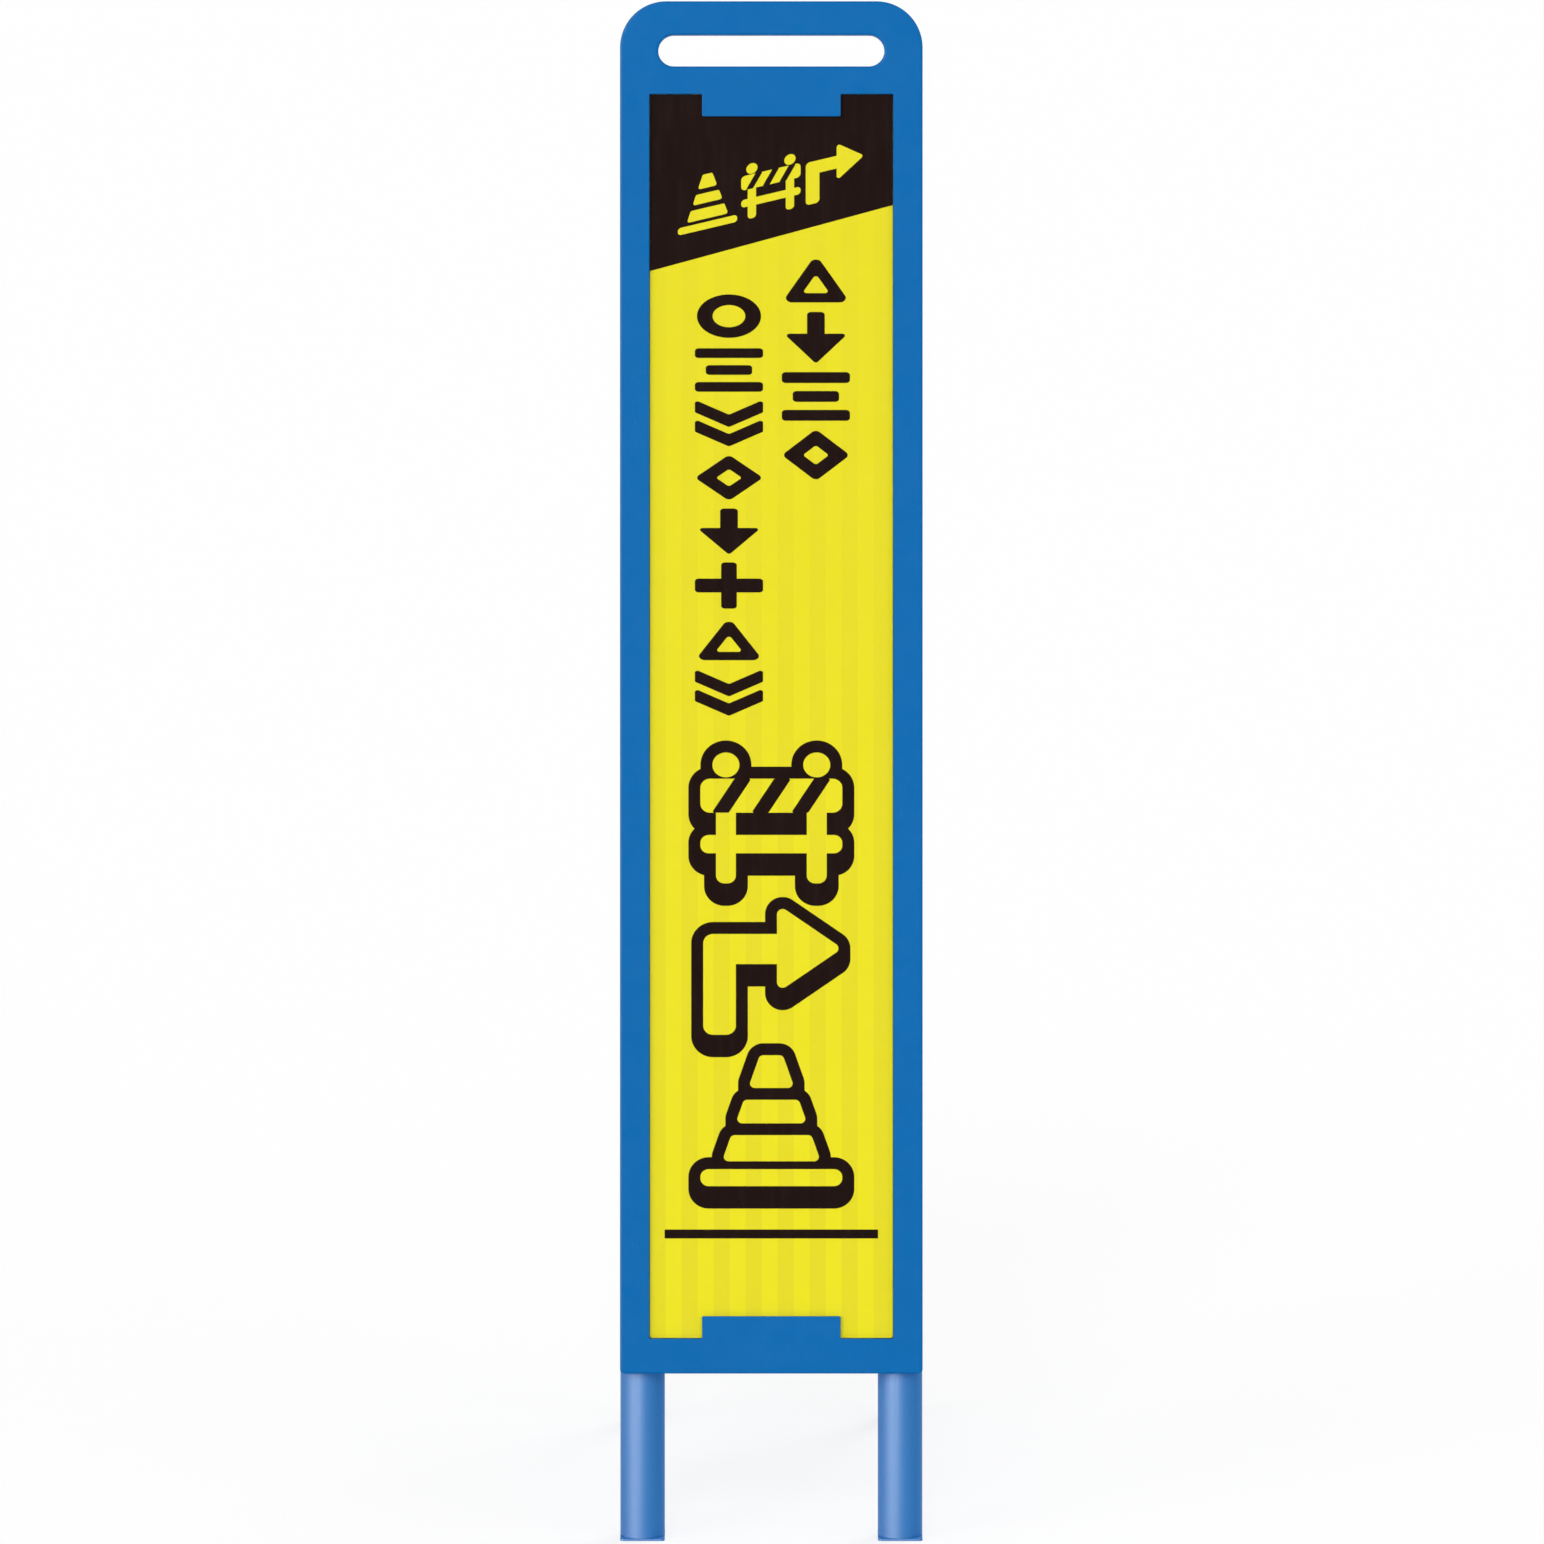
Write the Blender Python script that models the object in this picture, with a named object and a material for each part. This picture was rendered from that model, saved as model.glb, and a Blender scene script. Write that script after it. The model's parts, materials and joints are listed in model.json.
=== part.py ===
"""Slim standing road sign: a moulded frame with a board, two round uprights and a fold-out rear stand."""

import math

import bmesh
import bpy
from mathutils import Matrix, Vector

MM = 0.001

for thing in list(bpy.data.objects):
    bpy.data.objects.remove(thing, do_unlink=True)

# Overall sizes. The height is measured along the leaning face, from the road to the top edge.
sign_height = 1400 * MM
sign_width = 275 * MM
lean = math.radians(10)
opening = math.radians(20)

# Front moulding.
frame_depth = 19.5 * MM
leg_show = 152.8 * MM
corner_radius = 42 * MM
foot_corner_radius = 4 * MM
edge_round = 2 * MM
back_chamfer = 0.6 * MM
handle_bar = 30.6 * MM
slot_height = 28.6 * MM
slot_width = 205.6 * MM
end_flat = 0.01 * MM
slot_to_board = 25.1 * MM
bottom_rail = 31.8 * MM
side_rail = 26.6 * MM
tab_width = 126 * MM
tab_reach = 20.3 * MM
tab_thickness = 3 * MM
skin = 3 * MM
web = 2.5 * MM
rib = 3 * MM
longest_pocket = 126 * MM
screw_block = 14 * MM
groove_land = 4.5 * MM
pocket_low_land = 4 * MM
pocket_high_land = 8 * MM
pad_side_land = 14 * MM
pad_end_land = 10 * MM

# Board and its printed film.
board_thickness = 3 * MM
sheet_thickness = 0.4 * MM
board_edge_gap = 0.4 * MM
film_inset = 0.5 * MM
board_corner = 0.5 * MM
fit_gap = 0.3 * MM
glue_gap = 0.1 * MM

# Uprights.
upright_diameter = 40.5 * MM
upright_wall = 1.2 * MM
upright_to_slot = 7 * MM
cap_flange = 2 * MM
cap_stem = 22 * MM
cap_stem_wall = 2.5 * MM
cap_edge = 1 * MM
cap_lead = 2 * MM
cap_floor = 4 * MM
foot_floor = 1 * MM
foot_flange = 2 * MM
foot_corner = 3 * MM
upright_screw_radius = 2.3 * MM
upright_screw_head = 5 * MM
upright_screw_head_height = 3 * MM
screw_tip_cover = 1.5 * MM
lowest_screw_lift = 45 * MM
highest_screw_drop = 90 * MM

# Rubber stops for the folded stand.
bumper_lift = 120 * MM
bumper_radius = 8 * MM
bumper_edge = 1.5 * MM
stud_radius = 3 * MM
stud_length = 7 * MM
stud_point = 0.6 * MM
stud_taper = 1.5 * MM

# Rear stand.
hinge_below_upright_top = 52 * MM
leg_swing_room = 6.5 * MM
leg_diameter = 22.2 * MM
leg_wall = 1.2 * MM
leg_over_hinge = 12 * MM
rear_foot_wall = 2.9 * MM
rear_foot_sole = 5 * MM
rear_foot_height = 32 * MM
rear_foot_chamfer = 1.2 * MM
rear_foot_lip = 1.5 * MM
rear_cap_stem = 6.5 * MM
rear_cap_rise = 1.6 * MM
crossbar_diameter = 16 * MM
crossbar_wall = 1.5 * MM
crossbar_entry = 7 * MM
upper_crossbar_drop = 350 * MM
lower_crossbar_lift = 191 * MM

# Hinge bracket, its bolt and its screws.
bolt_radius = 4 * MM
washer_side_gap = 0.2 * MM
ear_thickness = 3 * MM
ear_radius = 11 * MM
ear_half_base = 18 * MM
bracket_base = 3 * MM
bracket_wrap = 6 * MM
bracket_half_length = 32 * MM
bracket_screw_pitch = 25 * MM
bracket_screw_radius = 2.4 * MM
bracket_screw_length = 12 * MM
bracket_screw_head = 4.6 * MM
bracket_screw_head_height = 2.6 * MM
nut_flat = 6.2 * MM
nut_height = 6 * MM
nut_chamfer = 0.7 * MM
bolt_head = 4 * MM
bolt_head_radius = 7 * MM
bolt_head_shoulder = 5.4 * MM
bolt_head_crown = 3.6 * MM
bolt_socket = 2.5 * MM
bolt_end = 2 * MM
bolt_point = 0.8 * MM
washer_radius = 9 * MM
washer_thickness = 0.9 * MM

# Stay and its guide rail.
stay_length = 420 * MM
stay_width = 20 * MM
stay_thickness = 5 * MM
stay_eye_radius = 12 * MM
stay_boss_radius = 8.5 * MM
pin_radius = 4 * MM
pin_head_radius = 6.5 * MM
pin_head_height = 2.5 * MM
pin_head_chamfer = 0.8 * MM
pin_tail = 2.2 * MM
pin_groove = 0.7 * MM
clip_seat_gap = 0.6 * MM
clip_thickness = 1.2 * MM
clip_radius = 6.6 * MM
clip_bore_gap = 0.15 * MM
clip_mouth = math.radians(80)
pin_line_rise = 16.5 * MM
rail_wall = 2.5 * MM
rail_side_gap = 0.5 * MM
rail_height = 24 * MM
rail_overrun = 20 * MM
rail_screw_radius = 2 * MM
rail_screw_head = 4.2 * MM
rail_screw_head_height = 2.4 * MM
rail_screw_inset = 8 * MM
rail_screw_cover = 2 * MM
collar_wall = 3.5 * MM
collar_width = 8 * MM

# Free play of moving fits, and the play of a screw in its hole.
running_gap = 0.1 * MM
head_gap = 0.1 * MM
tip_room = 0.5 * MM
eye_gap = 0.2 * MM
slot_gap = 0.25 * MM
slot_end_gap = 0.5 * MM
hole_gap = 0.3 * MM
cut_over = 5 * MM
block_spare = 1 * MM

ROUND = 32
SMALL = 18
SCREW = 12

# Values that follow from the sizes above.
upright_radius = upright_diameter / 2
leg_radius = leg_diameter / 2
crossbar_radius = crossbar_diameter / 2
recess_depth = tab_thickness + fit_gap + sheet_thickness + glue_gap + board_thickness + fit_gap
sheet_front = tab_thickness + fit_gap
board_front = sheet_front + sheet_thickness + glue_gap
upright_front = recess_depth + web + fit_gap
upright_depth = upright_front + upright_radius
upright_back = upright_front + upright_diameter
upright_x = sign_width / 2 - upright_radius
groove_radius = upright_radius + fit_gap

front_slope = math.tan(lean)
foot_tip = -upright_radius * front_slope
frame_top = foot_tip + sign_height
frame_bottom = foot_tip + leg_show
slot_top = frame_top - handle_bar
slot_bottom = slot_top - slot_height
recess_top = slot_bottom - slot_to_board
recess_bottom = frame_bottom + bottom_rail
recess_half = sign_width / 2 - side_rail
upright_top = slot_bottom - upright_to_slot

hinge_height = upright_top - hinge_below_upright_top
hinge_depth = upright_back + bracket_base + leg_radius + leg_swing_room
ear_gap = leg_radius + washer_thickness + 2 * washer_side_gap
pin_line_depth = frame_depth + pin_line_rise
pin_line_offset = hinge_depth - pin_line_depth

front_rise = upright_depth * math.sin(lean)
hinge_world_y = hinge_depth * math.cos(lean) + hinge_height * math.sin(lean)
hinge_world_z = front_rise - hinge_depth * math.sin(lean) + hinge_height * math.cos(lean)
rear_lean = opening - lean
rear_slope = -math.tan(rear_lean)
leg_reach = hinge_world_z / math.cos(rear_lean)
lower_crossbar_drop = leg_reach - lower_crossbar_lift
rear_foot_radius = leg_radius + running_gap + rear_foot_wall

# The object stands centred over the origin, so the depth of its outline sets how far it is moved back.
front_edge = upright_front * math.cos(lean) + foot_tip * math.sin(lean)
rear_heel = hinge_world_y + (leg_reach - rear_foot_chamfer) * math.sin(rear_lean)
rear_heel += rear_foot_radius / math.cos(rear_lean)
centre_shift = -(front_edge + rear_heel) / 2


def stay_angle(opened):
    """Angle between the stay and the frame when the stand is open by the given angle."""
    return math.asin((pin_line_offset + upper_crossbar_drop * math.sin(opened)) / stay_length)


def pin_height(opened):
    """Height of the slide pin along the frame for a given opening."""
    down = upper_crossbar_drop * math.cos(opened) + stay_length * math.cos(stay_angle(opened))
    return hinge_height - down


pin_low = pin_height(0)
pin_high = pin_height(opening)
rail_low = pin_low - pin_radius - rail_overrun
rail_high = pin_high + pin_radius + rail_overrun

screw_low = frame_bottom + lowest_screw_lift
screw_high = hinge_height - highest_screw_drop
screw_heights = (screw_low, (screw_low + screw_high) / 2, screw_high)
bumper_height = screw_low + bumper_lift


def material(name, colour, metallic, roughness):
    made = bpy.data.materials.new(name)
    made.use_nodes = True
    shader = made.node_tree.nodes["Principled BSDF"]
    shader.inputs["Base Color"].default_value = (*colour, 1)
    shader.inputs["Metallic"].default_value = metallic
    shader.inputs["Roughness"].default_value = roughness
    return made


BLUE = (0.006, 0.159, 0.456)
YELLOW = (0.807, 0.787, 0.024)
WHITE = (0.72, 0.73, 0.72)
STEEL = (0.52, 0.53, 0.54)
DARK = (0.03, 0.03, 0.032)


def add(name, bm, parent, look, smooth_angle=35):
    """Turns a bmesh into a named object with its own material, under the given empty."""
    bmesh.ops.recalc_face_normals(bm, faces=bm.faces)
    mesh = bpy.data.meshes.new(name)
    bm.to_mesh(mesh)
    bm.free()
    made = bpy.data.objects.new(name, mesh)
    bpy.context.scene.collection.objects.link(made)
    made.parent = parent
    if look:
        mesh.materials.append(material(name, *look))
    if smooth_angle:
        mesh.shade_smooth()
        mesh.set_sharp_from_angle(angle=math.radians(smooth_angle))
    return made


def cut(target, name, bm):
    """Takes the volumes of bm away from target."""
    cutter = add(name, bm, target.parent, None, 0)
    cutter.hide_render = True
    cutter.display_type = "WIRE"
    modifier = target.modifiers.new(name, "BOOLEAN")
    modifier.operation = "DIFFERENCE"
    modifier.solver = "EXACT"
    modifier.object = cutter


def place(x, y, z, turn=None):
    moved = Matrix.Translation((x, y, z))
    return moved @ turn if turn else moved


TO_RIGHT = Matrix.Rotation(math.radians(90), 4, "Y")
TO_LEFT = Matrix.Rotation(math.radians(-90), 4, "Y")
TO_BACK = Matrix.Rotation(math.radians(-90), 4, "X")


def section(shape, size, count, corner=0.0):
    """One cross-section as points counted by angle, so that unlike shapes can be joined."""
    points = []
    for index in range(count):
        turn = 2 * math.pi * index / count
        across = math.cos(turn)
        along = math.sin(turn)
        reach = size
        if shape == "hex":
            reach = size / math.cos(turn % (math.pi / 3) - math.pi / 6)
        if shape == "square":
            longer = max(abs(across), abs(along))
            shorter = min(abs(across), abs(along))
            reach = size / longer
            if shorter * reach > size - corner:
                inner = size - corner
                middle = inner * (longer + shorter)
                reach = middle + math.sqrt(middle * middle - 2 * inner * inner + corner * corner)
        points.append((reach * across, reach * along))
    return points


def skin_rings(bm, rings, closed, at):
    """Joins rings of points into one closed body. A closed one meets itself, as a pipe does."""
    made = [[bm.verts.new(at @ Vector(point)) for point in ring] for ring in rings]
    pairs = list(zip(made, made[1:]))
    if closed:
        pairs.append((made[-1], made[0]))
    for lower, upper in pairs:
        for index in range(len(lower)):
            following = (index + 1) % len(lower)
            bm.faces.new((lower[index], lower[following], upper[following], upper[index]))
    if not closed:
        bm.faces.new(list(reversed(made[0])))
        bm.faces.new(made[-1])


def turned(bm, profile, at, count=SMALL, closed=False, slope=0.0):
    """Skins (size, height, shape) steps about Z. A slope tilts the steps whose shape ends with a star."""
    rings = []
    for size, height, shape in profile:
        tilted = shape.endswith("*")
        points = section(shape.rstrip("*"), size, count, foot_corner)
        rings.append([(x, y, height + (slope * y if tilted else 0)) for x, y in points])
    skin_rings(bm, rings, closed, at)


def box(bm, x0, x1, y0, y1, z0, z1):
    ring = ((x0, y0), (x1, y0), (x1, y1), (x0, y1))
    skin_rings(bm, [[(x, y, z) for x, y in ring] for z in (z0, z1)], False, Matrix())


def rod(bm, radius, start, end, at, count=SMALL):
    turned(bm, ((radius, start, "round"), (radius, end, "round")), at, count)


def pipe(bm, outer, inner, start, end, at, count=SMALL):
    turned(
        bm,
        ((outer, start, "round"), (outer, end, "round"), (inner, end, "round"), (inner, start, "round")),
        at,
        count,
        closed=True,
    )


def rounded(half_width, low, high, radii, steps=8):
    """Outline of a rounded rectangle in x and z, with the radii of its lower and its upper corners."""
    points = []
    corners = (
        (half_width, low, radii[0], -90),
        (half_width, high, radii[1], 0),
        (-half_width, high, radii[1], 90),
        (-half_width, low, radii[0], 180),
    )
    for x, z, radius, first in corners:
        centre_x = x - math.copysign(radius, x)
        centre_z = z + radius if z == low else z - radius
        for step in range(steps + 1):
            turn = math.radians(first + 90 * step / steps)
            points.append((centre_x + radius * math.cos(turn), centre_z + radius * math.sin(turn)))
    return points


def plate(bm, layers):
    """Skins outlines in x and z that stand at increasing depths."""
    skin_rings(bm, [[(x, depth, z) for x, z in outline] for depth, outline in layers], False, Matrix())


def rows(low, high):
    """Splits a length into equal pockets with a rib between each two."""
    count = math.ceil((high - low + rib) / (longest_pocket + rib))
    length = (high - low + rib) / count - rib
    return [(low + index * (length + rib), low + index * (length + rib) + length) for index in range(count)]


def empty(name, parent, location, turn):
    made = bpy.data.objects.new(name, None)
    bpy.context.scene.collection.objects.link(made)
    made.parent = parent
    made.location = location
    made.rotation_euler = (turn, 0, 0)
    return made


# Three pivots: the leaning frame, the hinge line of the stand, and the crossbar that the stay turns on.
frame_empty = empty("frame_lean", None, (0, centre_shift, front_rise), -lean)
stand_empty = empty("stand_hinge", frame_empty, (0, hinge_depth, hinge_height), opening)
stay_empty = empty(
    "stay_hinge", stand_empty, (0, 0, -upper_crossbar_drop), -opening - stay_angle(opening)
)

SIDES = (("left", -1), ("right", 1))


# Front moulding.
def frame_outline(inset):
    return rounded(
        sign_width / 2 - inset,
        frame_bottom + inset,
        frame_top - inset,
        (foot_corner_radius - inset, corner_radius - inset),
    )


bm = bmesh.new()
layers = []
for turn in (0, 30, 60, 90):
    back_by = edge_round * (1 - math.cos(math.radians(turn)))
    in_by = edge_round * (1 - math.sin(math.radians(turn)))
    layers.append((back_by, frame_outline(in_by)))
layers.append((frame_depth - back_chamfer, frame_outline(0)))
layers.append((frame_depth, frame_outline(back_chamfer)))
plate(bm, layers)
front_frame = add("front_frame", bm, frame_empty, (BLUE, 0, 0.45))

bm = bmesh.new()


def slot_outline(spread):
    radius = slot_height / 2 + spread - end_flat
    return rounded(slot_width / 2 + spread, slot_bottom - spread, slot_top + spread, (radius, radius))


plate(
    bm,
    (
        (-edge_round, slot_outline(2 * edge_round)),
        (0.3 * edge_round, slot_outline(0.35 * edge_round)),
        (edge_round, slot_outline(0)),
        (frame_depth - edge_round, slot_outline(0)),
        (frame_depth - 0.3 * edge_round, slot_outline(0.35 * edge_round)),
        (frame_depth + edge_round, slot_outline(2 * edge_round)),
    ),
)
cut(front_frame, "handle_slot_cutter", bm)

# The recess is a full rectangle behind the two board tabs and a notched one beside them.
bm = bmesh.new()
half = recess_half
tab = tab_width / 2
outline = (
    (-half, recess_bottom),
    (-tab, recess_bottom),
    (-tab, recess_bottom + tab_reach),
    (tab, recess_bottom + tab_reach),
    (tab, recess_bottom),
    (half, recess_bottom),
    (half, recess_top),
    (tab, recess_top),
    (tab, recess_top - tab_reach),
    (-tab, recess_top - tab_reach),
    (-tab, recess_top),
    (-half, recess_top),
)
front = [bm.verts.new((x, -cut_over, z)) for x, z in outline]
step = [bm.verts.new((x, tab_thickness, z)) for x, z in outline]
deep = [bm.verts.new((outline[index][0], recess_depth, outline[index][1])) for index in (0, 5, 6, 11)]
bm.faces.new(front)
for index in range(12):
    after = (index + 1) % 12
    bm.faces.new((front[index], front[after], step[after], step[index]))
bm.faces.new((step[1], step[2], step[3], step[4]))
bm.faces.new((step[7], step[8], step[9], step[10]))
bm.faces.new((step[0], step[1], step[4], step[5], deep[1], deep[0]))
bm.faces.new((step[5], step[6], deep[2], deep[1]))
bm.faces.new((step[6], step[7], step[10], step[11], deep[3], deep[2]))
bm.faces.new((step[11], step[0], deep[0], deep[3]))
bm.faces.new((deep[0], deep[1], deep[2], deep[3]))
cut(front_frame, "board_recess_cutter", bm)

bm = bmesh.new()
for name, side in SIDES:
    rod(
        bm,
        groove_radius,
        frame_bottom - cut_over,
        upright_top + cap_flange + 2 * fit_gap,
        place(side * upright_x, upright_depth, 0),
        ROUND,
    )
cut(front_frame, "upright_groove_cutter", bm)

# Open pockets at the back leave a grid of ribs, with a solid pad behind the guide rail.
groove_half = math.sqrt(groove_radius**2 - (upright_depth - frame_depth) ** 2)
pocket_half = upright_x - groove_half - groove_land
pad_half = stay_width / 2 + rail_side_gap + rail_wall + pad_side_land
pad_low = rail_low - pad_end_land
pad_high = rail_high + pad_end_land
pocket_low = frame_bottom + pocket_low_land
pocket_high = slot_bottom - pocket_high_land
pocket_floor = recess_depth + web
behind = frame_depth + cut_over
bm = bmesh.new()
for low, high in rows(pocket_low, pad_low - rib) + rows(pad_high + rib, pocket_high):
    box(bm, -pocket_half, -pad_half, pocket_floor, behind, low, high)
    box(bm, -pad_half + rib, pad_half - rib, pocket_floor, behind, low, high)
    box(bm, pad_half, pocket_half, pocket_floor, behind, low, high)
for low, high in rows(pad_low, pad_high):
    box(bm, -pocket_half, -pad_half, pocket_floor, behind, low, high)
    box(bm, pad_half, pocket_half, pocket_floor, behind, low, high)
cut(front_frame, "back_pocket_cutter", bm)

# Each side rail is hollow from behind, with a block wherever an upright screw bites.
bm = bmesh.new()
ends = [frame_bottom + skin - screw_block / 2, *screw_heights, upright_top]
for first, last in zip(ends, ends[1:]):
    for low, high in rows(first + screw_block / 2, last - screw_block / 2):
        for name, side in SIDES:
            edges = sorted((side * (recess_half + skin), side * (sign_width / 2 - skin)))
            box(bm, edges[0], edges[1], skin, behind, low, high)
cut(front_frame, "side_rail_cutter", bm)

bm = bmesh.new()
screw_tip = skin + screw_tip_cover
for name, side in SIDES:
    for height in screw_heights:
        rod(
            bm,
            upright_screw_radius + hole_gap,
            screw_tip - tip_room,
            behind,
            place(side * upright_x, 0, height, TO_BACK),
        )
rail_screw_heights = (rail_low + rail_screw_inset, rail_high - rail_screw_inset)
rail_screw_tip = pocket_floor + rail_screw_cover
for height in rail_screw_heights:
    rod(bm, rail_screw_radius + hole_gap, rail_screw_tip - tip_room, behind, place(0, 0, height, TO_BACK))
cut(front_frame, "frame_screw_cutter", bm)

# Board and printed film.
bm = bmesh.new()
board_radii = (board_corner, board_corner)
board = rounded(
    recess_half - board_edge_gap,
    recess_bottom + board_edge_gap,
    recess_top - board_edge_gap,
    board_radii,
    2,
)
plate(bm, ((board_front, board), (board_front + board_thickness, board)))
add("sign_board", bm, frame_empty, (WHITE, 0, 0.4))

bm = bmesh.new()
film_gap = board_edge_gap + film_inset
film = rounded(recess_half - film_gap, recess_bottom + film_gap, recess_top - film_gap, board_radii, 2)
plate(bm, ((sheet_front, film), (sheet_front + sheet_thickness, film)))
add("reflective_sheet", bm, frame_empty, (YELLOW, 0, 0.35))


# Shares of a screw's own radius and head height.
DRIVE_SHARE = 0.7
POINT_SHARE = 0.45


def pan_screw(name, parent, look, at, radius, length, head_radius, head_height):
    """A screw whose head stands on z = 0 and whose shank reaches down from it."""
    bm = bmesh.new()
    recess = radius * DRIVE_SHARE
    turned(
        bm,
        (
            (radius * POINT_SHARE, -length, "round"),
            (radius, -length + radius, "round"),
            (radius, 0, "round"),
            (head_radius, 0, "round"),
            (head_radius, head_height * 0.35, "round"),
            (head_radius * 0.82, head_height * 0.82, "round"),
            (head_radius * 0.5, head_height, "round"),
            (recess, head_height, "round"),
            (recess, head_height * 0.45, "round"),
        ),
        at,
        SCREW,
    )
    return add(name, bm, parent, look, 40)


# Uprights, each with its cap, its foot and the screws that hold it in the groove.
bracket_front = upright_back + bracket_base
for name, side in SIDES:
    x = side * upright_x
    inner = upright_radius - upright_wall
    lift = (foot_flange + fit_gap) / math.cos(lean)
    bm = bmesh.new()
    turned(
        bm,
        (
            (upright_radius, lift, "round*"),
            (upright_radius, upright_top, "round"),
            (inner, upright_top, "round"),
            (inner, lift, "round*"),
        ),
        place(x, upright_depth, 0),
        ROUND,
        closed=True,
        slope=front_slope,
    )
    upright = add(name + "_upright", bm, frame_empty, (BLUE, 0.0, 0.3))
    bm = bmesh.new()
    for height in screw_heights:
        rod(
            bm,
            upright_screw_radius + hole_gap,
            upright_front - cut_over,
            upright_back + cut_over,
            place(x, 0, height, TO_BACK),
        )
    for height in (hinge_height - bracket_screw_pitch, hinge_height + bracket_screw_pitch):
        hole = place(x, 0, height, TO_BACK)
        rod(bm, bracket_screw_radius + hole_gap, upright_depth, upright_back + cut_over, hole)
    stud_hole = place(x, 0, bumper_height, TO_BACK)
    rod(bm, stud_radius + hole_gap, upright_depth, upright_back + cut_over, stud_hole)
    cut(upright, name + "_upright_hole_cutter", bm)

    stem = inner - running_gap
    bm = bmesh.new()
    turned(
        bm,
        (
            (stem - cap_edge, upright_top - cap_stem, "round"),
            (stem, upright_top - cap_stem + cap_lead, "round"),
            (stem, upright_top + fit_gap, "round"),
            (upright_radius, upright_top + fit_gap, "round"),
            (upright_radius, upright_top + fit_gap + cap_flange - cap_edge, "round"),
            (upright_radius - cap_edge, upright_top + fit_gap + cap_flange, "round"),
            (stem - cap_stem_wall, upright_top + fit_gap + cap_flange, "round"),
            (stem - cap_stem_wall, upright_top - cap_stem + cap_floor, "round"),
        ),
        place(x, upright_depth, 0),
        ROUND,
    )
    add(name + "_upright_cap", bm, frame_empty, (BLUE, 0, 0.5))

    flange_top = foot_flange / math.cos(lean)
    bm = bmesh.new()
    turned(
        bm,
        (
            (upright_radius, 0, "square*"),
            (upright_radius, flange_top, "square*"),
            (stem, flange_top, "round*"),
            (stem, cap_stem, "round"),
            (stem - cap_edge, cap_stem + cap_lead, "round"),
            (stem - cap_stem_wall, cap_stem + cap_lead, "round"),
            (stem - cap_stem_wall, flange_top + foot_floor, "round*"),
        ),
        place(x, upright_depth, 0),
        ROUND,
        slope=front_slope,
    )
    add(name + "_front_foot", bm, frame_empty, (BLUE, 0, 0.6))

    for spot, height in zip(("lower", "middle", "upper"), screw_heights):
        pan_screw(
            name + "_upright_screw_" + spot,
            frame_empty,
            (STEEL, 1, 0.3),
            place(x, upright_back + head_gap, height, TO_BACK),
            upright_screw_radius,
            upright_back + head_gap - screw_tip,
            upright_screw_head,
            upright_screw_head_height,
        )

    # Rubber stop for the folded leg, with a stud through the wall of the tube.
    bumper_top = hinge_depth - leg_radius - fit_gap
    bm = bmesh.new()
    turned(
        bm,
        (
            (stud_radius - stud_point, upright_back - stud_length, "round"),
            (stud_radius, upright_back - stud_length + stud_taper, "round"),
            (stud_radius, upright_back + head_gap, "round"),
            (bumper_radius, upright_back + head_gap, "round"),
            (bumper_radius, bumper_top - bumper_edge, "round"),
            (bumper_radius - bumper_edge, bumper_top, "round"),
        ),
        place(x, 0, bumper_height, TO_BACK),
    )
    add(name + "_fold_bumper", bm, frame_empty, (DARK, 0, 0.8))


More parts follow.
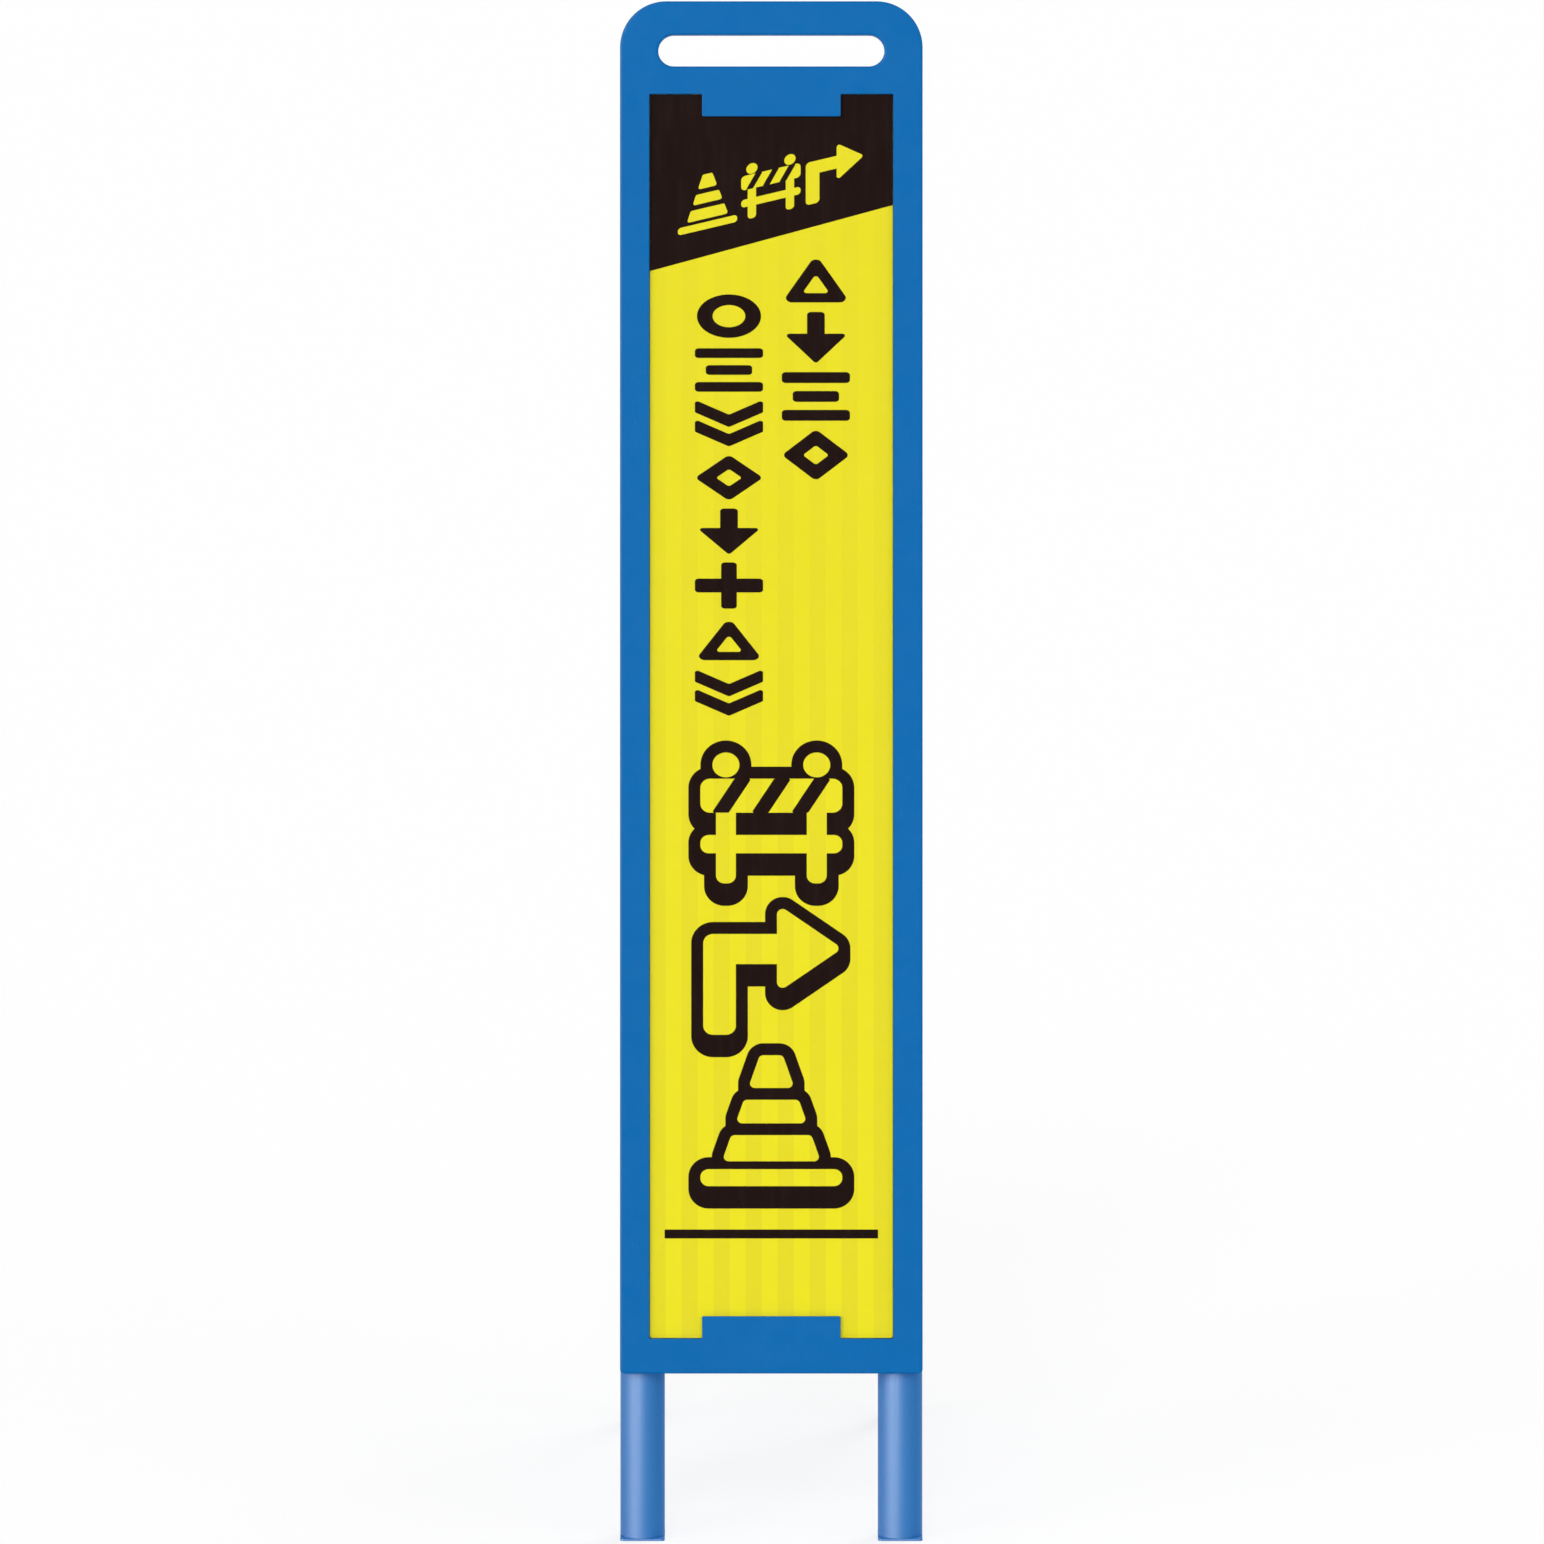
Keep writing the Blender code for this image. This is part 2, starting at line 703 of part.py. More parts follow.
# Hinge brackets: a saddle on the tube with two ears, cut from one block.
for name, side in SIDES:
    x = side * upright_x
    outer = ear_gap + ear_thickness
    saddle_front = upright_back - bracket_wrap
    back = hinge_depth + ear_radius + cut_over
    bm = bmesh.new()
    box(
        bm,
        x - outer,
        x + outer,
        saddle_front,
        hinge_depth + ear_radius + block_spare,
        hinge_height - bracket_half_length,
        hinge_height + bracket_half_length,
    )
    bracket = add(name + "_hinge_bracket", bm, frame_empty, (BLUE, 0.0, 0.35))

    bm = bmesh.new()
    span = bracket_half_length + cut_over
    box(bm, x - ear_gap, x + ear_gap, bracket_front, back, hinge_height - span, hinge_height + span)
    cut(bracket, name + "_bracket_channel_cutter", bm)

    # What is left outside the tapered, rounded ears.
    rise = hinge_depth - bracket_front
    reach = math.hypot(ear_half_base, rise)
    half_arc = math.pi - math.atan2(ear_half_base, rise) - math.acos(ear_radius / reach)
    arc = []
    for index in range(13):
        turn = half_arc * (index / 6 - 1)
        arc.append((hinge_depth + ear_radius * math.cos(turn), hinge_height + ear_radius * math.sin(turn)))
    around = (
        [(bracket_front, hinge_height + span), (back, hinge_height + span), (back, hinge_height - span)]
        + [(bracket_front, hinge_height - span), (bracket_front, hinge_height - ear_half_base)]
        + arc
        + [(bracket_front, hinge_height + ear_half_base)]
    )
    bm = bmesh.new()
    sides = (x - outer - cut_over, x + outer + cut_over)
    skin_rings(bm, [[(edge, y, z) for y, z in around] for edge in sides], False, Matrix())
    cut(bracket, name + "_bracket_ear_cutter", bm)

    bm = bmesh.new()
    rod(
        bm,
        groove_radius,
        hinge_height - span,
        hinge_height + span,
        place(x, upright_depth, 0),
        ROUND,
    )
    cut(bracket, name + "_bracket_saddle_cutter", bm)

    bm = bmesh.new()
    for height in (hinge_height - bracket_screw_pitch, hinge_height + bracket_screw_pitch):
        rod(
            bm,
            bracket_screw_radius + hole_gap,
            upright_back - block_spare,
            bracket_front + cut_over,
            place(x, 0, height, TO_BACK),
        )
    hinge_line = place(x, hinge_depth, hinge_height, TO_RIGHT)
    rod(bm, bolt_radius + running_gap, -outer - cut_over, outer + cut_over, hinge_line)
    cut(bracket, name + "_bracket_hole_cutter", bm)

    for spot, height in (
        ("lower", hinge_height - bracket_screw_pitch),
        ("upper", hinge_height + bracket_screw_pitch),
    ):
        pan_screw(
            name + "_bracket_screw_" + spot,
            frame_empty,
            (STEEL, 1, 0.3),
            place(x, bracket_front + head_gap, height, TO_BACK),
            bracket_screw_radius,
            bracket_screw_length,
            bracket_screw_head,
            bracket_screw_head_height,
        )

    outward = place(x, hinge_depth, hinge_height, TO_RIGHT if side > 0 else TO_LEFT)
    seat = outer + head_gap
    bm = bmesh.new()
    turned(
        bm,
        (
            (bolt_radius - bolt_point, -seat - nut_height - bolt_end, "round"),
            (bolt_radius, -seat - nut_height - bolt_end + bolt_point, "round"),
            (bolt_radius, seat, "round"),
            (bolt_head_radius, seat, "round"),
            (bolt_head_radius, seat + bolt_head * 0.45, "round"),
            (bolt_head_shoulder, seat + bolt_head * 0.9, "round"),
            (bolt_head_crown, seat + bolt_head, "round"),
            (bolt_socket, seat + bolt_head, "hex"),
            (bolt_socket, seat + bolt_head * 0.4, "hex"),
        ),
        outward,
    )
    add(name + "_hinge_bolt", bm, frame_empty, (STEEL, 1, 0.25), 40)

    bm = bmesh.new()
    nut_seat = -seat - nut_height
    turned(
        bm,
        (
            (nut_flat * 0.94, nut_seat, "round"),
            (nut_flat, nut_seat + nut_chamfer, "hex"),
            (nut_flat, -seat, "hex"),
            (bolt_radius + running_gap, -seat, "round"),
            (bolt_radius + running_gap, nut_seat, "round"),
        ),
        outward,
        closed=True,
    )
    add(name + "_hinge_nut", bm, frame_empty, (STEEL, 1, 0.3), 25)

    first = leg_radius + washer_side_gap
    for spot, near in (("inner", -first - washer_thickness), ("outer", first)):
        bm = bmesh.new()
        pipe(bm, washer_radius, bolt_radius + running_gap, near, near + washer_thickness, outward)
        add(name + "_hinge_washer_" + spot, bm, frame_empty, (WHITE, 0, 0.4))


# Guide rail: a channel whose two flanges have a slot for the slide pin.
rail_inner = stay_width / 2 + rail_side_gap
rail_outer = rail_inner + rail_wall
rail_base = frame_depth + fit_gap
profile = (
    (-rail_outer, rail_base),
    (rail_outer, rail_base),
    (rail_outer, rail_base + rail_height),
    (rail_inner, rail_base + rail_height),
    (rail_inner, rail_base + rail_wall),
    (-rail_inner, rail_base + rail_wall),
    (-rail_inner, rail_base + rail_height),
    (-rail_outer, rail_base + rail_height),
)
bm = bmesh.new()
skin_rings(bm, [[(x, y, z) for x, y in profile] for z in (rail_low, rail_high)], False, Matrix())
guide_rail = add("guide_rail", bm, frame_empty, (STEEL, 1, 0.4))
bm = bmesh.new()
half_slot = pin_radius + slot_gap
slot_first = pin_low - pin_radius - slot_end_gap
slot_last = pin_high + pin_radius + slot_end_gap
around = []
for centre, first in ((slot_last - half_slot, 0), (slot_first + half_slot, 180)):
    for index in range(9):
        turn = math.radians(first + 180 * index / 8)
        around.append((pin_line_depth + half_slot * math.cos(turn), centre + half_slot * math.sin(turn)))
sides = (-rail_outer - cut_over, rail_outer + cut_over)
skin_rings(bm, [[(edge, y, z) for y, z in around] for edge in sides], False, Matrix())
cut(guide_rail, "rail_slot_cutter", bm)
bm = bmesh.new()
for height in rail_screw_heights:
    hole = place(0, 0, height, TO_BACK)
    rod(bm, rail_screw_radius + hole_gap, frame_depth, rail_base + rail_wall + block_spare, hole)
cut(guide_rail, "rail_screw_cutter", bm)
for spot, height in zip(("lower", "upper"), rail_screw_heights):
    pan_screw(
        "guide_rail_screw_" + spot,
        frame_empty,
        (STEEL, 1, 0.3),
        place(0, rail_base + rail_wall + head_gap, height, TO_BACK),
        rail_screw_radius,
        rail_base + rail_wall + head_gap - rail_screw_tip,
        rail_screw_head,
        rail_screw_head_height,
    )

# Rear legs, with their caps, feet and the two crossbars that join them.
leg_bore = leg_radius - leg_wall
for name, side in SIDES:
    x = side * upright_x
    lift = (rear_foot_sole + fit_gap) / math.cos(rear_lean)
    bm = bmesh.new()
    turned(
        bm,
        (
            (leg_radius, -leg_reach + lift, "round*"),
            (leg_radius, leg_over_hinge, "round"),
            (leg_bore, leg_over_hinge, "round"),
            (leg_bore, -leg_reach + lift, "round*"),
        ),
        place(x, 0, 0),
        ROUND,
        closed=True,
        slope=rear_slope,
    )
    leg = add(name + "_rear_leg", bm, stand_empty, (BLUE, 0.0, 0.3))
    bm = bmesh.new()
    reach = leg_radius + cut_over
    rod(bm, bolt_radius + running_gap, -reach, reach, place(x, 0, 0, TO_RIGHT))
    inward = TO_LEFT if side > 0 else TO_RIGHT
    for drop in (upper_crossbar_drop, lower_crossbar_drop):
        rod(bm, crossbar_radius + fit_gap, 0, leg_radius + cut_over, place(x, 0, -drop, inward))
    cut(leg, name + "_rear_leg_cutter", bm)

    bm = bmesh.new()
    stem = leg_bore - running_gap
    turned(
        bm,
        (
            (stem - cap_edge, leg_over_hinge - rear_cap_stem, "round"),
            (stem, leg_over_hinge - rear_cap_stem + cap_edge, "round"),
            (stem, leg_over_hinge + fit_gap, "round"),
            (leg_radius, leg_over_hinge + fit_gap, "round"),
            (leg_radius - cap_edge, leg_over_hinge + fit_gap + rear_cap_rise, "round"),
        ),
        place(x, 0, 0),
        ROUND,
    )
    add(name + "_rear_leg_cap", bm, stand_empty, (DARK, 0, 0.6))

    bm = bmesh.new()
    sole = rear_foot_sole / math.cos(rear_lean)
    turned(
        bm,
        (
            (rear_foot_radius - cap_edge, -leg_reach, "round*"),
            (rear_foot_radius, -leg_reach + rear_foot_chamfer, "round*"),
            (rear_foot_radius, -leg_reach + rear_foot_height - rear_foot_lip, "round"),
            (rear_foot_radius - rear_foot_chamfer, -leg_reach + rear_foot_height, "round"),
            (leg_radius + running_gap, -leg_reach + rear_foot_height, "round"),
            (leg_radius + running_gap, -leg_reach + sole, "round*"),
        ),
        place(x, 0, 0),
        ROUND,
        slope=rear_slope,
    )
    add(name + "_rear_foot", bm, stand_empty, (DARK, 0, 0.85))

    gap = stay_width / 2 + rail_side_gap
    near = side * (gap + collar_width / 2)
    bm = bmesh.new()
    pipe(
        bm,
        crossbar_radius + running_gap + collar_wall,
        crossbar_radius + running_gap,
        -collar_width / 2,
        collar_width / 2,
        place(near, 0, -upper_crossbar_drop, TO_RIGHT),
        ROUND,
    )
    add(name + "_stay_collar", bm, stand_empty, (STEEL, 1, 0.35))

crossbar_half = upright_x - crossbar_entry
for name, drop in (("upper_crossbar", upper_crossbar_drop), ("lower_crossbar", lower_crossbar_drop)):
    bm = bmesh.new()
    pipe(
        bm,
        crossbar_radius,
        crossbar_radius - crossbar_wall,
        -crossbar_half,
        crossbar_half,
        place(0, 0, -drop, TO_RIGHT),
        ROUND,
    )
    add(name, bm, stand_empty, (BLUE, 0.0, 0.3))

# Stay: a flat strut with an eye round the upper crossbar and a boss on the slide pin.
half = stay_thickness / 2
around = []
for centre, radius, first in ((0, stay_eye_radius, 0), (-stay_length, stay_boss_radius, 180)):
    meet = math.degrees(math.acos(half / radius))
    for index in range(17):
        turn = math.radians(first - meet + (180 + 2 * meet) * index / 16)
        around.append((radius * math.cos(turn), centre + radius * math.sin(turn)))
bm = bmesh.new()
sides = (-stay_width / 2, stay_width / 2)
skin_rings(bm, [[(edge, y, z) for y, z in around] for edge in sides], False, Matrix())
stay_arm = add("stay_arm", bm, stay_empty, (STEEL, 1, 0.4))
bm = bmesh.new()
rod(bm, crossbar_radius + eye_gap, sides[0] - cut_over, sides[1] + cut_over, place(0, 0, 0, TO_RIGHT), ROUND)
rod(
    bm,
    pin_radius + running_gap,
    sides[0] - cut_over,
    sides[1] + cut_over,
    place(0, 0, -stay_length, TO_RIGHT),
)
cut(stay_arm, "stay_bore_cutter", bm)

head_seat = -rail_outer - fit_gap
clip_seat = rail_outer + clip_seat_gap
clip_groove = pin_radius - pin_groove
pin_end = clip_seat + clip_thickness + pin_tail
bm = bmesh.new()
turned(
    bm,
    (
        (pin_head_radius - pin_head_chamfer, head_seat - pin_head_height, "round"),
        (pin_head_radius, head_seat - pin_head_height + pin_head_chamfer, "round"),
        (pin_head_radius, head_seat, "round"),
        (pin_radius, head_seat, "round"),
        (pin_radius, clip_seat - running_gap, "round"),
        (clip_groove, clip_seat - running_gap, "round"),
        (clip_groove, clip_seat + clip_thickness + running_gap, "round"),
        (pin_radius, clip_seat + clip_thickness + running_gap, "round"),
        (pin_radius, pin_end - pin_head_chamfer, "round"),
        (pin_radius - pin_head_chamfer, pin_end, "round"),
    ),
    place(0, 0, -stay_length, TO_RIGHT),
)
add("stay_slide_pin", bm, stay_empty, (STEEL, 1, 0.3), 40)

around = []
clip_first = (math.pi + clip_mouth) / 2
clip_span = 2 * math.pi - clip_mouth
forward = range(21)
for radius, turns in ((clip_radius, forward), (clip_groove + clip_bore_gap, reversed(forward))):
    for index in turns:
        turn = clip_first + clip_span * index / 20
        around.append((radius * math.cos(turn), -stay_length + radius * math.sin(turn)))
bm = bmesh.new()
sides = (clip_seat, clip_seat + clip_thickness)
skin_rings(bm, [[(edge, y, z) for y, z in around] for edge in sides], False, Matrix())
add("stay_pin_clip", bm, stay_empty, (STEEL, 1, 0.3))
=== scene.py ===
"""Looks of the slim standing road sign: fine pieces, finishes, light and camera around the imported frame."""

import json
from math import acos, atan2, ceil, copysign, cos, hypot, pi, radians, sin, sqrt, tan

import bmesh
import bpy
from mathutils import Matrix, Vector
from mathutils.geometry import delaunay_2d_cdt


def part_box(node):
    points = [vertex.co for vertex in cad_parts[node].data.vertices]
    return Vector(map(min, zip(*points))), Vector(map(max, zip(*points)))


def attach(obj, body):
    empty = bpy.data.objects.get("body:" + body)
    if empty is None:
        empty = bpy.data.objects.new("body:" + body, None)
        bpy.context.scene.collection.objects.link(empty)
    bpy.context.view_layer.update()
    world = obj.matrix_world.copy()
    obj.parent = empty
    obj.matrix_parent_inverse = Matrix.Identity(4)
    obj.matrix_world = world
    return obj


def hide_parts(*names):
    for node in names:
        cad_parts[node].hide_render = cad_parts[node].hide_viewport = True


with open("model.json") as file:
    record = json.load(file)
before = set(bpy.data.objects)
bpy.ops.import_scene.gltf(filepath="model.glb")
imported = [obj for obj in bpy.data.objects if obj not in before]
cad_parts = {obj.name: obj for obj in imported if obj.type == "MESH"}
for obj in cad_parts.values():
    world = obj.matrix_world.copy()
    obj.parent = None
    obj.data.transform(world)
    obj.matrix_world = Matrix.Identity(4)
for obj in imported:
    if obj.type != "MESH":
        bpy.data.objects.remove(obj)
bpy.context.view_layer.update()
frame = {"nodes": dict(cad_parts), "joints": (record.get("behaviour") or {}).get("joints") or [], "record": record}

MM = 0.001
JOINTS = {joint["name"]: joint for joint in frame["joints"]}
BODY = {node: body for body, nodes in frame["record"]["behaviour"]["bodies"].items() for node in nodes}
SLOT = {part["node"]: part["material_slot"] for part in frame["record"]["subparts"]}
SIDES = (("left", -1), ("right", 1))
SPOTS = ("lower", "middle", "upper")
ENDS = ("lower", "upper")
UPRIGHT_SCREWS = [f"{name}_upright_screw_{spot}" for name, _ in SIDES for spot in SPOTS]
BRACKET_SCREWS = [f"{name}_bracket_screw_{spot}" for name, _ in SIDES for spot in ENDS]
RAIL_SCREWS = ["guide_rail_screw_" + spot for spot in ENDS]


def turned(angle, axis="X"):
    return Matrix.Rotation(angle, 4, axis)


def shift(x, y, z):
    return Matrix.Translation((x, y, z))


TO_RIGHT = turned(radians(90), "Y")
TO_LEFT = turned(radians(-90), "Y")
TO_BACK = turned(radians(-90))

# The face leans back, the stand leans the other way, and the stay points from its pivot to the slide pin.
LEAN = radians(10)
OPENING = radians(JOINTS["stand_fold"]["range_deg"][1])
pin_low, pin_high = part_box("stay_slide_pin")
stay_reach = (pin_low + pin_high) / 2 - Vector(JOINTS["stay_swing"]["pos_m"])
SIGN = turned(-LEAN)
STAND = turned(OPENING - LEAN)
AXES = {"sign_frame": SIGN, "rear_stand": STAND, "stay": turned(atan2(stay_reach.y, -stay_reach.z))}


def local_box(node, axes=None):
    """Lowest corner, highest corner and middle of a CAD node along the axes of its own body, or others."""
    back = (axes or AXES[BODY[node]]).inverted()
    points = [back @ vertex.co for vertex in frame["nodes"][node].data.vertices]
    low, high = (Vector([end(point[axis] for point in points) for axis in range(3)]) for end in (min, max))
    return low, high, (low + high) / 2


# Sizes that the boxes of the CAD nodes don't give.
CORNER = 42 * MM
FOOT_CORNER = 4 * MM
FRAME_EDGE = 2 * MM
RIM = 0.5 * MM
HANDLE_BAR = 30.6 * MM
SLOT_HEIGHT = 28.6 * MM
SLOT_WIDTH = 205.6 * MM
TAB_WIDTH = 126 * MM
TAB_REACH = 20.3 * MM
TAB_THICKNESS = 3 * MM
RECESS_DEPTH = 7.1 * MM
RECESS_GAP = 0.4 * MM
WEB = 2.5 * MM
SKIN = 3 * MM
RIB = 3 * MM
LONGEST_POCKET = 126 * MM
GROOVE_LAND = 4.5 * MM
SCREW_BLOCK = 14 * MM
EJECT_RADIUS = 3.5 * MM
EJECT_DEPTH = 0.4 * MM
TUBE_WALL = 1.2 * MM
BAR_WALL = 1.5 * MM
RAIL_WALL = 2.5 * MM
UPRIGHT_SCREW = 2.3 * MM
BRACKET_SCREW = 2.4 * MM
RAIL_SCREW = 2 * MM
BUMPER_STEM = 3 * MM
BOLT = 4 * MM
PIN = 4 * MM

# Gaps, how far a cutter reaches over, and how many steps a round part has.
CLEAR = 0.3 * MM
FIT = 0.1 * MM
PLAY = 0.15 * MM
OVER = 4 * MM
ROUND = 64
TURNED = 48
FINE = 40

# Points nearer than this are one, and an edge that bends less is straight.
WELD = 0.002 * MM
STRAIGHT = radians(0.01)

face_low, face_high = local_box("front_frame")[:2]
FACE = face_low.y
BACK = face_high.y
HALF = face_high.x
board_low, board_high = local_box("sign_board")[:2]
film_low, film_high = local_box("reflective_sheet")[:2]
tube_low, tube_high = local_box("right_upright")[:2]
TUBE_RADIUS = (tube_high.x - tube_low.x) / 2
TUBE_X = (tube_high.x + tube_low.x) / 2
TUBE_DEPTH = (tube_high.y + tube_low.y) / 2
GROOVE_RADIUS = TUBE_RADIUS + CLEAR
BEHIND = tube_high.y + OVER
slot_high = face_high.z - HANDLE_BAR
slot_low = slot_high - SLOT_HEIGHT
recess_low = board_low.z - RECESS_GAP
recess_high = board_high.z + RECESS_GAP
recess_half = board_high.x + RECESS_GAP
POCKET_FLOOR = FACE + RECESS_DEPTH + WEB


# Outlines are lists of points in a plane, counter-clockwise.
def polar(radius, angle):
    return Vector((radius * cos(angle), radius * sin(angle)))


def arc(centre, radius, first, sweep, steps):
    return [centre + polar(radius, first + sweep * step / steps) for step in range(steps + 1)]


def soft(corners, closed=True, steps=5):
    """Rounds each corner (a, b, radius) with an arc of so many steps for a right angle."""
    most = 0.499
    made = []
    for index, (a, b, radius) in enumerate(corners):
        corner = Vector((a, b))
        before = Vector(corners[index - 1][:2]) - corner
        after = Vector(corners[(index + 1) % len(corners)][:2]) - corner
        at_end = not closed and index in (0, len(corners) - 1)
        if at_end or radius <= 0:
            made.append(corner)
            continue
        wedge = before.angle(after)
        reach = min(radius / tan(wedge / 2), before.length * most, after.length * most)
        radius = reach * tan(wedge / 2)
        start = corner + before.normalized() * reach
        middle = (before.normalized() + after.normalized()).normalized()
        centre = corner + middle * radius / sin(wedge / 2)
        first = atan2(start.y - centre.y, start.x - centre.x)
        sweep = copysign(pi - wedge, after.x * before.y - after.y * before.x)
        made += arc(centre, radius, first, sweep, max(1, round(steps * abs(sweep) / (pi / 2))))
    return made


def counter_clockwise(outline):
    area = sum(p.x * q.y - q.x * p.y for p, q in zip(outline, outline[1:] + outline[:1]))
    return outline if area > 0 else outline[::-1]


def spread(outline, by):
    """The same outline, moved outward."""
    if by == 0:
        return outline
    made = []
    for index, point in enumerate(outline):
        came = (point - outline[index - 1]).normalized()
        goes = (outline[(index + 1) % len(outline)] - point).normalized()
        normal = Vector((came.y + goes.y, -came.x - goes.x))
        made.append(point + normal * (2 * by / normal.length_squared))
    return made


def rectangle(left, right, low, high, lower, upper=None, steps=5):
    """A rectangle with the radii of its lower and its upper corners."""
    upper = lower if upper is None else upper
    corners = ((left, low, lower), (right, low, lower), (right, high, upper), (left, high, upper))
    return soft(corners, steps=steps)


def circle(radius, count=ROUND, centre=(0, 0)):
    return arc(Vector(centre), radius, 0, 2 * pi, count)[:-1]


def hexagon(flat):
    return circle(flat / cos(pi / 6), 6)


# Ways to stand a point of an outline and its depth in space.
def on_face(a, b, depth):
    return Vector((a, depth, b))


def across(a, b, depth):
    return Vector((depth, a, b))


def upright(a, b, depth):
    return Vector((a, b, depth))


# Layers are pairs of a depth and how far the outline is spread there.
def edge(depth, radius, way, outward, steps=4):
    """A quarter-round edge at that depth. The body lies on the side of way."""
    made = []
    for step in range(steps + 1):
        turn = pi / 2 * step / steps
        made.append((depth + way * radius * (1 - cos(turn)), outward * radius * (1 - sin(turn))))
    return made[::way]


def rounded_slab(front, back, front_edge, back_edge=None):
    """A plate whose two rims are rounded."""
    back_edge = front_edge if back_edge is None else back_edge
    return edge(front, front_edge, 1, -1) + edge(back, back_edge, -1, -1)


def pocket(mouth, floor, rim=RIM, fillet=1 * MM):
    """A cutter that enters at the mouth, flares at the rim and rounds the floor."""
    way = 1 if floor > mouth else -1
    near = [(mouth - way * OVER, rim)] + edge(mouth, rim, way, 1)[::way]
    return near + edge(floor, fillet, -way, -1)[::way]


def through_slot(front, back, rim, steps=4):
    """A cutter that goes right through and flares at both rims."""
    mouths = edge(front, rim, 1, 1, steps) + edge(back, rim, -1, 1, steps)
    return [(front - OVER, rim), *mouths, (back + OVER, rim)]


# Bodies. Each call makes a new one, unless it is given one to add to.
def skin(rings, closed=False, at=Matrix(), bm=None):
    """Joins rings of points, with a cap on each end unless the body closes on itself."""
    bm = bmesh.new() if bm is None else bm
    made = [[bm.verts.new(at @ Vector(point)) for point in ring] for ring in rings]
    pairs = list(zip(made, made[1:]))
    if closed:
        pairs.append((made[-1], made[0]))
    for lower, upper in pairs:
        for index in range(len(lower)):
            following = (index + 1) % len(lower)
            bm.faces.new((lower[index], lower[following], upper[following], upper[index]))
    if not closed:
        bm.faces.new(made[0][::-1])
        bm.faces.new(made[-1])
    return bm


def slab(outline, layers, to=on_face, at=Matrix(), bm=None):
    """Stacks an outline through layers."""
    return skin([[to(*point, depth) for point in spread(outline, by)] for depth, by in layers], at=at, bm=bm)


def lathe(profile, at=Matrix(), count=FINE, closed=False, steps=3, bm=None):
    """Turns corners (radius, height, fillet) about Z."""
    rings = [[(*point, height) for point in circle(r, count)] for r, height in soft(profile, closed, steps)]
    return skin(rings, closed, at, bm)


def rod(radius, first, last, at=Matrix(), count=FINE, bm=None):
    return lathe(((radius, first, 0), (radius, last, 0)), at, count, bm=bm)


def tube(low, high, radius, wall, lip=0.3 * MM, at=Matrix(), count=ROUND):
    """An open tube with slightly broken edges."""
    profile = ((radius, low, lip), (radius, high, lip), (radius - wall, high, lip), (radius - wall, low, lip))
    return lathe(profile, at, count, closed=True)


def level(bm, slope, full, none, at):
    """Shears the lower end level with the road, wholly below full and not at all above none, and moves it."""
    for vertex in bm.verts:
        share = min(1, max(0, (none - vertex.co.z) / (none - full)))
        vertex.co.z += slope * vertex.co.y * share
    bmesh.ops.transform(bm, matrix=at, verts=bm.verts)


def drill(bm, node, radius, first, last):
    """Adds a round cutter along the depth, at the middle of a node of the sign."""
    centre = local_box(node)[2]
    rod(radius + PLAY, first, last, shift(centre.x, 0, centre.z) @ TO_BACK, bm=bm)


def to_mesh(name, bm, outward=True):
    """The mesh of a body. What is a mesh already stays as it is."""
    if isinstance(bm, bpy.types.Mesh):
        return bm
    if outward:
        bmesh.ops.recalc_face_normals(bm, faces=bm.faces)
    mesh = bpy.data.meshes.new(name)
    bm.to_mesh(mesh)
    bm.free()
    return mesh


def add_object(name, data):
    made = bpy.data.objects.new(name, data)
    bpy.context.scene.collection.objects.link(made)
    return made


def clean(bm):
    """Welds what a cut left microns apart, drops needless points and cuts many-sided faces to triangles."""
    bmesh.ops.remove_doubles(bm, verts=bm.verts, dist=WELD)
    bmesh.ops.dissolve_degenerate(bm, edges=bm.edges, dist=WELD)
    needless = []
    for vertex in bm.verts:
        if len(vertex.link_edges) == 2:
            first, second = (link.other_vert(vertex).co - vertex.co for link in vertex.link_edges)
            if first.angle(second, 0) > pi - STRAIGHT:
                needless.append(vertex)
    bmesh.ops.dissolve_verts(bm, verts=needless)
    many = [face for face in bm.faces if len(face.verts) > 4]
    bmesh.ops.triangulate(bm, faces=many, ngon_method="BEAUTY")
    bmesh.ops.dissolve_degenerate(bm, edges=bm.edges, dist=WELD)


def carve(body, cutters, operation="DIFFERENCE"):
    """Takes each cutter out of the body, or adds it, and gives the mesh that is left."""
    helpers = [add_object("helper", to_mesh("solid", solid)) for solid in (body, *cutters)]
    for helper in helpers[1:]:
        modifier = helpers[0].modifiers.new("cut", "BOOLEAN")
        modifier.operation = operation
        modifier.solver = "EXACT"
        modifier.object = helper
    graph = bpy.context.evaluated_depsgraph_get()
    mesh = bpy.data.meshes.new_from_object(helpers[0].evaluated_get(graph))
    for helper in helpers:
        bpy.data.objects.remove(helper, do_unlink=True)
    bm = bmesh.new()
    bm.from_mesh(mesh)
    clean(bm)
    return to_mesh("carved", bm, outward=False)


def piece(name, made, look, body, node=None, slot=None, at=Matrix(), sharp=30, even=False, plumb=False):
    """Makes a piece of a mesh along its body's axes, or along the frame's own where it is plumb.

    Even keeps big flat faces flat beside rounded edges.
    """
    mesh = to_mesh(name, made)
    item = add_object(name, mesh)
    if plumb:
        mesh.transform(AXES[body] @ at)
    else:
        item.matrix_world = AXES[body] @ at
    if not mesh.materials:
        mesh.name = name
        mesh.materials.append(look)
        mesh.shade_smooth()
        mesh.set_sharp_from_angle(angle=radians(sharp))
    if even:
        modifier = item.modifiers.new("even", "WEIGHTED_NORMAL")
        modifier.keep_sharp = True
        modifier.weight = 80
    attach(item, body)
    if node:
        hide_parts(node)


